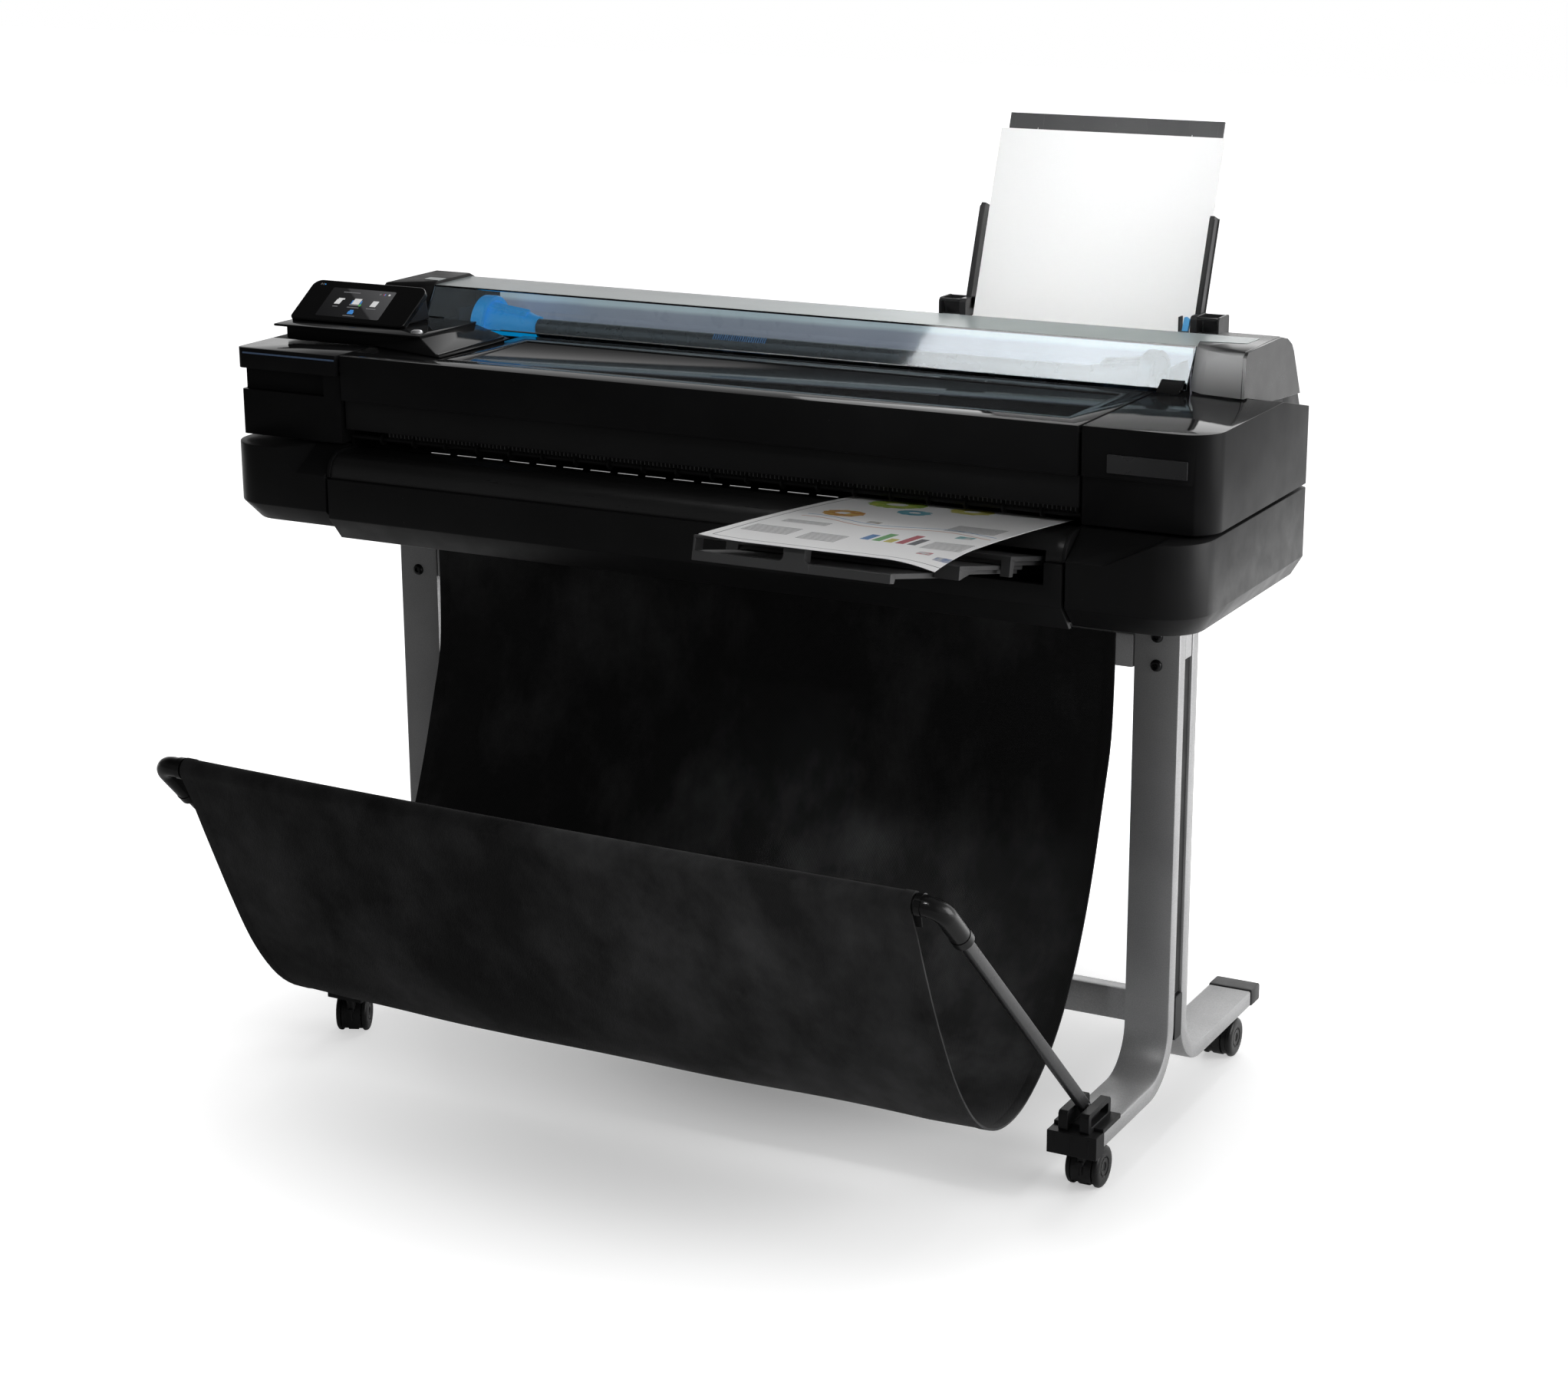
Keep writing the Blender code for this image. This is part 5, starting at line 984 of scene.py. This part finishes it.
def make_casing():
    drop, panel_foot_z = 0.005, 0.699
    swell, side_x = 0.008, -0.625

    def lowered(place):
        return place - Vector((0.0, 0.0, drop if place.z < panel_foot_z else 0.0))

    def outward(place):
        part = limited((0.2 - (place.y - STAND_Y)) / 0.3) if place.x < side_x else 0.0
        return Vector((max(place.x - swell * part, -HALF_W), place.y, place.z))

    moved = {"lower_front_panel": lowered, "left_upper_cover": outward}
    for finish, slot, names in (
            (SATIN, "satin_black", ("left_lower_cover", "right_lower_cover", "front_fascia", "rear_cover",
                                    "lower_front_panel")),
            (MATT, "satin_black", ("left_end_cap",)),
            # The right end cap carries a painted sheen on the upper part of its front.
            (CAP_PAINTED_SHEEN, "satin_black", ("right_end_cap",)),
            (SHELL, "satin_black", ("right_upper_cover", "control_base", "left_upper_cover")),
            (SHELL, "gloss_black", ("ink_cover", "main_lid")),
            (NOSE, "satin_black", ("output_nose",)),
            (SILVER, "silver_paint", ("left_leg", "right_leg", "upper_beam", "lower_brace")),
            (GUIDE, "satin_black", ("left_rear_foot_cap", "right_rear_foot_cap")),
            (SPINDLE, "matt_black", ("spindle",))):
        for name in names:
            skin(name, finish, slot, move=moved.get(name))
    blue = Shape().box((-0.648, -0.2376, 0.9108), (-0.506, -0.2366, 0.913))
    blue.piece("ink_cover_line", PALE_BLUE_LINE, "blue_plastic", "ink_door", bevel=0.0002)
    plate = Shape().prism(round_box(0.535, 0.8675, 0.63, 0.8885, 0.0012), "Y", FRONT_Y - 0.0014, FRONT_Y + 0.0004)
    plate.piece("right_cover_plate", PLATE_GREY, "grey_plastic", bevel=0.0002)
    cheek = Shape()
    for side in (-1, 1):
        low, high = span(side, 0.4985, 0.5032)
        outline = rounded(((-0.2043, 0.769, 0.0), (-0.2043, 0.8, 0.0), (-0.2668, 0.8, 0.03), (-0.2668, 0.769, 0.0)), 12)
        cheek.prism(outline, "X", low, high)
    cheek.piece("nose_cheeks", SATIN, "satin_black", bevel=0.0008)
    comb, tips = Shape(), Shape()
    comb.box((-0.443, -0.215, 0.816), (0.4965, -0.2115, 0.824))
    count, width = 164, 0.933
    for i in range(count):
        x = -0.44 + width * i / (count - 1)
        comb.box((x + 0.0012, -0.2158, 0.8152), (x + 0.0026, -0.212, 0.8222))
        tips.box((x - 0.0005, -0.2164, 0.8168), (x + 0.0005, -0.2148, 0.8234))
        tips.box((x - 0.003, -0.2166, 0.8227), (x - 0.0003, -0.2148, 0.8235))
    comb.piece("star_wheel_comb", MATT, "matt_black", smooth=20.0)
    tips.piece("star_wheel_tips", SMOKE, "grey_plastic", smooth=20.0)
    # White marks on the platen, with a painted glow.
    dashes = Shape()
    count, pitch, length = 15, 0.0394, 0.028
    for i in range(count):
        left = -0.4123 + i * pitch
        dashes.box((left, -0.1661, 0.79005), (left + length, -0.1647, 0.79045))
    dashes.piece("platen_marks", PLATEN_MARK_PAINTED_GLOW, "white_paper", bevel=0.0001)
    inlay = Shape()
    for front, rear, fore, back in ((0.592, 0.594, 0.0545, 0.094), (-0.56, -0.562, 0.046, 0.064)):
        near = math.copysign(0.5369, front)
        inlay.prism(rounded(((near, 0.0455, 0.0), (front, fore, 0.002), (rear, back, 0.002), (near, back, 0.0)), 3),
                    "Z", 0.9718, 0.9727)
    inlay.piece("end_cap_inlays", FROST, "smoked_clear", bevel=0.0002)
    cheek = Shape()
    cheek.prism(((-0.007, DECK_Z + GAP), (-0.0055, 0.9655), (0.003, 0.9718), (0.118, 0.9718), (0.14, 0.9668),
                 (0.156, 0.958), (0.164, 0.948), (0.1925, 0.8925), (0.0905, 0.8992), (0.0, DECK_Z + GAP)),
                "X", 0.6092, 0.6128)
    # The cheek takes the cap's painted sheen as well.
    cheek.piece("right_cap_cheek", CAP_PAINTED_SHEEN, "satin_black", bevel=0.0005)
    wedge = Shape()
    for side in (-1, 1):
        low, high = span(side, 0.505, 0.534)
        wedge.prism(((-0.012, DECK_Z + GAP), (0.003, DECK_Z + GAP), (0.0106, 0.931), (0.007, 0.931)), "X", low, high)
    wedge.piece("roll_cover_stops", GLOSS, "gloss_black", bevel=0.0008)
    # The bay's back wall glows with painted light and carries painted shade at its foot.
    liner = Shape()
    liner.prism(((0.129, 0.89), (0.1306, 0.89), (0.1306, 0.92), (0.1342, 0.924), (0.1342, 0.959), (0.1326, 0.959),
                 (0.1326, 0.9246), (0.129, 0.9206)), "X", -0.496, 0.496)
    liner.piece("bay_rear_wall", LINER_PAINTED_GLOW, "smoked_clear", bevel=0.0004)


COVER_HALF_W, COVER_T = 0.5362, 0.003
COVER_FOOT, COVER_CREASE, COVER_REAR = Vector((0.0075, 0.9195)), Vector((0.038, 0.9665)), Vector((0.122, 0.9665))
COVER_UP = (COVER_CREASE - COVER_FOOT).normalized()
COVER_OUT = Vector((-COVER_UP.y, COVER_UP.x))


def cover_face(u, v, w):
    """A place on the roll cover's front: across, up from near its foot, and out from its outer face."""
    y, z = COVER_FOOT + COVER_UP * (v + 0.014) + COVER_OUT * (w + COVER_T / 2)
    return (u, y, z)


def make_roll_cover():
    """A smoked pane in front and a frosted top behind the crease, with a hatched mark inside the pane."""
    half = COVER_T / 2
    up = Vector((0.0, 1.0))
    bend = (COVER_OUT + up).normalized()
    bend *= half / bend.y
    pane = Shape()
    pane.prism((COVER_FOOT + COVER_OUT * half, COVER_CREASE + bend, COVER_CREASE - bend, COVER_FOOT - COVER_OUT * half),
               "X", -COVER_HALF_W, COVER_HALF_W)
    pane.piece("roll_cover_pane", CLEAR, "smoked_clear", "roll_door", ("roll_cover",), bevel=0.0005)
    seam = Vector((GAP, 0.0))
    top = Shape()
    top.prism((COVER_CREASE + bend + seam, COVER_REAR + up * half, COVER_REAR - up * half, COVER_CREASE - bend + seam),
              "X", -COVER_HALF_W, COVER_HALF_W)
    top.piece("roll_cover_top", FROST, "smoked_clear", "roll_door", bevel=0.0005)
    # A pale strip along the pane's foot: a painted highlight on its edge.
    corners = ((-0.0139, -0.0009), (-0.0139, 0.0002), (-0.0128, 0.0002), (-0.0128, -0.0009))
    edge = Shape().prism([cover_face(0.0, v, w)[1:] for v, w in corners], "X", -0.415, 0.215)
    edge.piece("roll_cover_painted_highlight", WHITE_MARK_AND_HIGHLIGHT, "smoked_clear", "roll_door", bevel=0.0002)
    strip = Shape()
    count, pitch = 24, 0.0032
    for i in range(count):
        left = -0.103 + i * pitch
        strip.prism(((left, 0.0), (left + 0.0017, 0.0), (left + 0.0027, 0.0075), (left + 0.001, 0.0075)),
                    cover_face, -0.003, -0.0026)
    strip.piece("roll_cover_mark", HATCH_BLUE, "blue_plastic", "roll_door")


def make_hubs():
    """The roll hubs, blue at the left and dark at the right: a rimmed flange, a stepped core and spring levers."""
    roll_y, roll_z = 0.07, 0.915
    bore = 0.0128
    for side, name in SIDES:
        axis = (float(side), 0.0, 0.0)
        # The blue hub at the left has a painted glow.
        finish = BLUE_PAINTED_GLOW if side < 0 else HUB_DARK
        hub = Shape()
        hub.turned(((bore, 0.479), (0.03, 0.479), (0.031, 0.48), (0.036, 0.48), (0.0378, 0.4785), (0.038, 0.464),
                    (0.0366, 0.4622), (0.0318, 0.462), (0.0308, 0.4645), (0.0262, 0.4648), (0.0252, 0.46),
                    (0.024, 0.443), (0.0226, 0.425), (0.0202, 0.412), (0.0164, 0.401), (0.015, 0.394),
                    (bore, 0.3935), (bore, 0.479)),
                   (0.0, roll_y, roll_z), axis, steps=56)
        for k in range(3):
            turn = Matrix.Translation((0.0, roll_y, roll_z)) @ Matrix.Rotation(math.radians(20 + 120 * k), 4, "X")
            lever = Shape()
            low, high = span(side, 0.408, 0.464)
            outline = ((low, 0.019), (high, 0.02), (high, 0.03), (low, 0.0226)) if side > 0 else \
                ((low, 0.02), (high, 0.019), (high, 0.0226), (low, 0.03))
            lever.prism(outline, "Y", -0.0075, 0.0075)
            lever.prism([(u, v + 0.0006) for u, v in outline], "Y", -0.0022, 0.0022)
            lever.turn(turn)
            lever.piece(f"{name}_hub_lever_{k + 1}", finish, "blue_plastic", "roll_holder", bevel=0.0009)
        hub.piece(name + "_hub_body", finish, "blue_plastic", "roll_holder", (name + "_roll_hub",), smooth=30.0)


# Control unit


PANEL_FOOT = Vector((-0.125, 0.9384))
PANEL_CROWN = Vector((-0.06, 0.981))
PANEL_UP = (PANEL_CROWN - PANEL_FOOT).normalized()
PANEL_OUT = Vector((-PANEL_UP.y, PANEL_UP.x))
PANEL_LEFT, PANEL_RIGHT = -0.658, -0.48
PANEL_L = (PANEL_CROWN - PANEL_FOOT).length
SCREEN_LEFT, SCREEN_RIGHT, SCREEN_LOW, SCREEN_HIGH = -0.621, -0.522, 0.01, 0.064


def on_panel(u, v, w):
    """A place on the tilted panel: across, up its face and out from it."""
    y, z = PANEL_FOOT + PANEL_UP * v + PANEL_OUT * w
    return (u, y, z)


def make_controls():
    corners = ((PANEL_LEFT, 0.0012, 0.008), (PANEL_RIGHT, 0.0012, 0.008),
               (PANEL_RIGHT, PANEL_L, 0.013), (PANEL_LEFT, PANEL_L, 0.013))
    slab = Shape().prism(rounded(corners, 8), on_panel, -0.0085, 0.0)
    slab.piece("panel_slab", GLOSS, "gloss_black", replaces=("control_panel",), bevel=0.0016, segments=3)
    outline = ((-0.108, 0.9364), (-0.068, 0.964), (-0.055, 0.9715), (-0.048, 0.968), (-0.041, 0.9364))
    housing = Shape().prism(outline, "X", -0.644, -0.493)
    housing.piece("panel_housing", SATIN, "satin_black", bevel=0.002)
    outline = round_box(SCREEN_LEFT, SCREEN_LOW, SCREEN_RIGHT, SCREEN_HIGH, 0.0022)
    screen = Shape().prism(outline, on_panel, -0.0004, 0.00025)
    screen.piece("panel_screen", SCREEN, "gloss_black")
    marks = {"white": [], "grey": [], "blue": [], "green": [], "red": []}

    def rect(kind, u, v, w, h, skew=0.0):
        marks[kind].append(((u, v), (u + w, v), (u + w + skew, v + h), (u + skew, v + h)))

    rect("white", -0.6045, 0.034, 0.0085, 0.0085, 0.0012)
    rect("white", -0.602, 0.0425, 0.0095, 0.0026)
    rect("grey", -0.58, 0.033, 0.016, 0.0024)
    rect("white", -0.5775, 0.0355, 0.011, 0.0105, 0.0008)
    rect("blue", -0.579, 0.0355, 0.0015, 0.007)
    rect("blue", -0.565, 0.0355, 0.0015, 0.007)
    marks["green"].append(arc((-0.564, 0.0345), 0.0022, 0, 330, 11))
    rect("white", -0.548, 0.0335, 0.0088, 0.0105, 0.001)
    for u, w in ((-0.604, 0.008), (-0.581, 0.018), (-0.551, 0.015)):
        rect("grey", u, 0.0285, w, 0.0014)
    rect("blue", -0.5745, 0.017, 0.0085, 0.005)
    rect("blue", -0.573, 0.0222, 0.0055, 0.0026)
    rect("grey", -0.579, 0.0128, 0.018, 0.0013)
    rect("grey", -0.601, 0.056, 0.026, 0.0015)
    for u, kind in ((-0.545, "grey"), (-0.5385, "red"), (-0.537, "blue"), (-0.531, "white")):
        rect(kind, u, 0.056, 0.0014 if kind in ("red", "blue") else 0.0026, 0.0028)
    finishes = {"white": ICON_WHITE, "grey": ICON_GREY, "blue": ICON_BLUE, "green": ICON_GREEN, "red": ICON_RED}
    for kind, outlines in marks.items():
        icon = Shape()
        for outline in outlines:
            icon.prism(outline, on_panel, 0.0002, 0.00045)
        icon.piece("panel_icons_" + kind, finishes[kind], "white_paper", smooth=20.0)
    waves = Shape()
    middle = (-0.642, 0.069)
    for radius in (0.0014, 0.0026):
        for start in (-45, 135):
            ring = arc(middle, radius, start, start + 90, 6) + arc(middle, radius - 0.0006, start + 90, start, 6)
            waves.prism(ring, on_panel, -0.0002, 0.0002)
    waves.piece("panel_signal_mark", ICON_GREY, "white_paper", smooth=20.0)
    lamp = Shape().prism(arc((-0.6375, 0.0688), 0.0008, 0, 330, 11), on_panel, -0.0002, 0.0003)
    lamp.piece("panel_lamp", LED_BLUE, "blue_plastic")
    button = Shape()
    button.turned(((0.0, 0.004), (0.004, 0.0038), (0.0064, 0.003), (0.0078, 0.0012), (0.008, -0.003), (0.0, -0.003)),
                  (-0.45, -0.134, 0.936), (0.0, 0.0, 1.0), steps=36)
    button.piece("power_button_cap", PEARL, "steel", "button", ("power_button",))


# Trays and sheets


TRAY_SLOPE = math.radians(12.0)
TRAY_Y, TRAY_Z = -0.27, 0.757
LIP_TOP, LIP_FOOT = 0.0115, -0.016


def on_tray(u, v, w):
    """A place on the output tray: out along its slope, square to it, and across."""
    s, c = math.sin(TRAY_SLOPE), math.cos(TRAY_SLOPE)
    return (w, TRAY_Y - u * c + v * s, TRAY_Z + u * s + v * c)


def across_tray(along):
    """Places on an upright face across the tray: across, up from the tray's middle, and back from a line."""
    return lambda u, v, w: on_tray(along - w, v, u)


def on_tray_flat(u, v, w):
    """A place on the tray from (out along it, across, square to it)."""
    return on_tray(u, w, v)


def tray_plate(reach, length, left, right, top, thick):
    """A plate with a frame under it, a little inside the plate's edges."""
    inset = 0.006
    made = Shape().box((reach - length, left, top - thick / 2), (reach, right, top), on_tray_flat)
    made.plate(((reach - length, left + inset), (reach - inset, left + inset), (reach - inset, right - inset),
                (reach - length, right - inset)),
               [round_box(reach - length + 0.02, left + 0.03, reach - 0.03, right - 0.03, 0.006)],
               on_tray_flat, top - thick, top - thick / 2 + 0.0002)
    return made


def fin(made, reach, top, corners, low, high):
    """A wall along the tray, from corners given back from a segment's end and down from its top."""
    made.prism([(reach - u, top - v) for u, v in corners], on_tray, low, high)


def make_trays():
    """Three telescoping segments: the first with a hook, the next with a front wall, the last with a framed lip."""
    reach, left, right, top, thick = 0.079, 0.158, 0.4715, 0.0166, 0.0106
    inner = tray_plate(reach, 0.186, left, right, top, thick)
    hook = ((0.012, 0.004), (0.0, 0.004), (0.0, 0.0228), (0.009, 0.0228))
    fin(inner, reach, top, hook, right - 0.0115, right)
    web = ((0.06, 0.004), (0.01, 0.004), (0.01, 0.018), (0.014, 0.01))
    fin(inner, reach, top, web, right - 0.0115, right - 0.009)
    reach, left, right, top, thick = 0.185, 0.174, 0.459, 0.0055, 0.01
    middle = tray_plate(reach, 0.17, left, right, top, thick)
    for low_x, high_x in ((left, 0.1896), (0.4286, right)):
        middle.box((reach - 0.004, top - 0.003, low_x), (reach, top - 0.0155, high_x), on_tray)
    web = ((0.05, 0.004), (0.003, 0.004), (0.003, 0.0155), (0.012, 0.013))
    fin(middle, reach, top, web, right - 0.0024, right)
    reach, left, right, top, thick = 0.29, 0.19, 0.428, -0.005, 0.006
    rail, post, post_end, lip_d, rim = 0.01, 0.3, 0.326, 0.019, 0.003
    outer = Shape().box((reach - 0.17, left, top - thick), (reach - rail, right, top), on_tray_flat)
    outer.prism(((reach - rail - 0.002, LIP_FOOT + 0.004), (reach - rail, LIP_FOOT), (reach, LIP_FOOT),
                 (reach, top - 0.0005), (reach - 0.003, top), (reach - rail - 0.002, top)), on_tray, left, right)
    outer.box((reach - lip_d, left, LIP_TOP - rim), (reach, post_end, LIP_TOP), on_tray_flat)
    outer.box((reach - lip_d, left, top - 0.001), (reach - 0.0003, left + 0.0028, LIP_TOP - 0.001), on_tray_flat)
    flare = 0.006
    outer.prism([(post - flare, LIP_FOOT)] + [(post - flare, top - 0.0005)]
                + arc((post - flare, top - 0.0005 + flare), flare, -90, 0, 5) + [(post, LIP_TOP), (post_end, LIP_TOP)]
                + arc((post_end + flare, top - 0.0005 + flare), flare, 180, 270, 5) + [(post_end + flare, LIP_FOOT)],
                across_tray(reach + 0.0004), 0.0, 0.006)
    for x in (post + 0.002, post_end - 0.0044):
        outer.box((reach - lip_d, top, x), (reach - 0.005, LIP_TOP - 0.001, x + 0.0024), on_tray)
    for name, made in (("inner", inner), ("middle", middle), ("outer", outer)):
        made.piece(f"tray_{name}_segment", GREY, "grey_plastic", "tray_" + name, ("output_tray_" + name,),
                   bevel=0.0007, smooth=30.0)


PRINT_LEFT, PRINT_RIGHT = 0.2015, 0.481
PRINT_LINE = ((-0.19, 0.7992), (-0.206, 0.8012), (-0.28, 0.809), (-0.37, 0.817), (-0.46, 0.8234), (-0.54, 0.8278),
              (-0.5605, 0.8287))


def make_print():
    line = smooth_path(PRINT_LINE, 6)
    runs = run_along(line)
    width, length = PRINT_RIGHT - PRINT_LEFT, runs[-1]
    columns, thick = 36, 0.00035

    def place(way, i, k):
        s, t = k / columns, runs[i] / length
        corner = max(0.0, (s - 0.78) / 0.22) * max(0.0, (t - 0.72) / 0.28)
        left = max(0.0, (0.22 - s) / 0.22) * max(0.0, (t - 0.25) / 0.75)
        wave = 0.0006 * math.sin(math.pi * 2.0 * s) * math.sin(math.pi * t)
        lift = 0.0008 - 0.008 * corner * corner + 0.003 * left * left + wave
        y, z = line[i]
        return (PRINT_LEFT + width * s, y, z + lift - (way + 1) / 2 * thick), (width * s, length - runs[i])

    made = closed_sheet("printed_sheet_paper", len(line), columns + 1, place, PRINT, "plotter", "white_paper",
                        "printed_sheet")


FEED_Y, FEED_Z = 0.16, 0.961
STACK_LEFT, STACK_RIGHT = 0.1915, 0.4885
REAR_DECK_Z = 0.961


def on_feeder(u, v, w):
    """A place in the sheet feeder: up its lean, out to the front, and across."""
    s, c = math.sin(FEED_LEAN), math.cos(FEED_LEAN)
    return (w, FEED_Y + u * s - v * c, FEED_Z + u * c + v * s)


def on_feeder_face(u, v, w):
    """A place on a face of the feeder from (across, up, out)."""
    return on_feeder(v, w, u)


def make_feeder():
    face = -0.0086
    low, high = face - 0.0001, face + 0.0002
    middle = (STACK_LEFT + STACK_RIGHT) / 2
    floor = REAR_DECK_Z + GAP

    def trapezium(foot_half, foot, foot_r, head_half, head, head_r):
        return rounded(((middle - foot_half, foot, foot_r), (middle + foot_half, foot, foot_r),
                        (middle + head_half, head, head_r), (middle - head_half, head, head_r)), 3)

    outer = trapezium(0.044, 0.245, 0.003, 0.04, 0.2592, 0.0006)
    inner = trapezium(0.0428, 0.2462, 0.0024, 0.039, 0.2582, 0.0005)
    tab = Shape().plate(outer, [inner], on_feeder_face, low, high)
    tab.prism(((middle - 0.0022, 0.25), (middle + 0.0022, 0.25), (middle, 0.255)), on_feeder_face, low, high)
    for x in (STACK_LEFT + 0.014, STACK_LEFT + 0.052, STACK_RIGHT - 0.052, STACK_RIGHT - 0.014):
        tab.box((x - 0.0004, 0.16, low), (x + 0.0004, 0.2615, high), on_feeder_face)
    tab.piece("extension_tab", SMOKE, "grey_plastic", "feeder_extension", bevel=0.0001)
    ticks = Shape()
    for x in (STACK_LEFT + 0.046, STACK_RIGHT - 0.046):
        ticks.box((x - 0.0005, 0.2402, low), (x + 0.0005, 0.244, high), on_feeder_face)
    ticks.piece("extension_ticks", WHITE_MARK_AND_HIGHLIGHT, "white_paper", "feeder_extension", bevel=0.0001)
    for side, edge, name in ((-1, STACK_LEFT, "left"), (1, STACK_RIGHT, "right")):
        inner = edge + side * GAP
        front, rear, top = 0.1381, 0.1741, 0.985
        guide = Shape()
        x0, x1 = span(side, 0.0, 0.037, inner)
        guide.box((x0, front, floor), (x1, rear, floor + 0.003))
        for a, b in ((0.0, 0.0085), (0.0345, 0.037)):
            low, high = span(side, a, b, inner)
            outline = rounded(((front, floor, 0.0), (rear, floor, 0.0), (rear, top, 0.004), (front, top, 0.006)), 4)
            guide.prism(outline, "X", low, high)
        guide.box((x0, rear - 0.0025, floor), (x1, rear, top - 0.0012))
        low, high = span(side, 0.008, 0.035, inner)
        guide.box((low, front + 0.001, top - 0.0045), (high, front + 0.0035, top - 0.0008))
        a, b = span(side, 0.012, 0.034, inner)
        guide.prism(((a, front + 0.01), (a + 0.0022, front + 0.01), (b, rear - 0.004), (b - 0.0022, rear - 0.004)),
                    "Z", floor, top - 0.004)
        low, high = span(side, 0.0, 0.006, inner)
        low_up = (REAR_DECK_Z - FEED_Z) / math.cos(FEED_LEAN) + 0.008
        guide.prism(((low_up, -0.005), (0.142, -0.005), (0.142, 0.0115), (0.138, 0.013), (low_up, 0.013)),
                    on_feeder, low, high)
        a, b = span(side, 0.006, 0.0072, inner)
        guide.prism(((low_up, -0.005), (0.142, -0.005), (0.142, -0.003), (low_up, -0.003)), on_feeder, a, b)
        guide.prism(((low_up, 0.0105), (0.139, 0.0105), (0.137, 0.013), (low_up, 0.013)), on_feeder, a, b)
        node = name + "_sheet_guide"
        guide.piece(name + "_guide_frame", GUIDE, "satin_black", BODY_OF[node], (node,), bevel=0.0006)
    holder = Shape().box((STACK_RIGHT - 0.015, 0.1385, floor), (STACK_RIGHT - 0.013, 0.15, 0.983))
    holder.box((STACK_RIGHT - 0.015, 0.1385, floor), (STACK_RIGHT - 0.001, 0.1405, 0.966))
    holder.piece("guide_clip_holder", GUIDE, "satin_black", bevel=0.0005)
    corners = ((0.0122, floor, 0.001), (0.004, floor, 0.001), (0.0012, 0.9795, 0.0015), (0.008, 0.9845, 0.002))
    outline = rounded([(STACK_RIGHT - inward, z, radius) for inward, z, radius in corners], 3)
    clip = Shape().prism(outline, "Y", 0.1412, 0.146)
    clip.piece("guide_clip", SKY, "blue_plastic", bevel=0.0006)


# Rear face


def make_rear():
    rear_y = 0.2051
    outer, inner = round_box(-0.5215, 0.7505, -0.4905, 0.7755, 0.002), round_box(-0.519, 0.753, -0.493, 0.773, 0.004)
    insert = Shape().plate(outer, [inner], "Y", rear_y - 0.0002, rear_y + 0.0012)
    for x, z in ((-0.513, 0.7605), (-0.506, 0.766), (-0.499, 0.7605)):
        insert.box((x - 0.0008, rear_y - 0.0178, z - 0.0022), (x + 0.0008, rear_y - 0.006, z + 0.0022))
    insert.piece("inlet_insert", MATT, "matt_black", bevel=0.0003)
    vents = Shape()
    count, pitch, slot_w = 26, 0.0125, 0.005
    for i in range(count):
        x = -0.3 + i * pitch
        vents.box((x, rear_y - 0.0002, 0.722), (x + slot_w, rear_y + 0.001, 0.772))
    vents.piece("rear_louvres", MATT, "matt_black", bevel=0.0004)
    ports = Shape()
    ports.plate(round_box(-0.455, 0.748, -0.405, 0.778, 0.003),
                [round_box(-0.45, 0.754, -0.435, 0.768, 0.001), round_box(-0.427, 0.756, -0.413, 0.766, 0.001)], "Y",
                rear_y - 0.0002, rear_y + 0.0012)
    ports.piece("rear_ports", GREY, "grey_plastic", bevel=0.0003)


# CAD nodes that keep their own shape


def finish_nodes():
    finishes = {
        "chassis": MATT, "carriage": MATT, "carriage_rail": RAIL, "carriage_belt": RUBBER, "belt_pulley": STEEL,
        "feed_roller": RUBBER, "star_wheel_shaft": MATT, "main_board": BOARD, "sheet_stack": STACK,
        "sheet_support": SMOKE, "sheet_support_extension": SMOKE,
    }
    finishes.update({"ink_tank_" + name: made for name, made in INKS.items()})
    for name, made in finishes.items():
        for place in NODES[name].material_slots:
            place.material = made.made


make_stage()
make_leg_trim()
make_brackets()
make_casters()
make_cloth()
make_bin_frame()
make_casing()
make_roll_cover()
make_hubs()
make_controls()
make_trays()
make_print()
make_feeder()
make_rear()
finish_nodes()

bpy.context.view_layer.update()
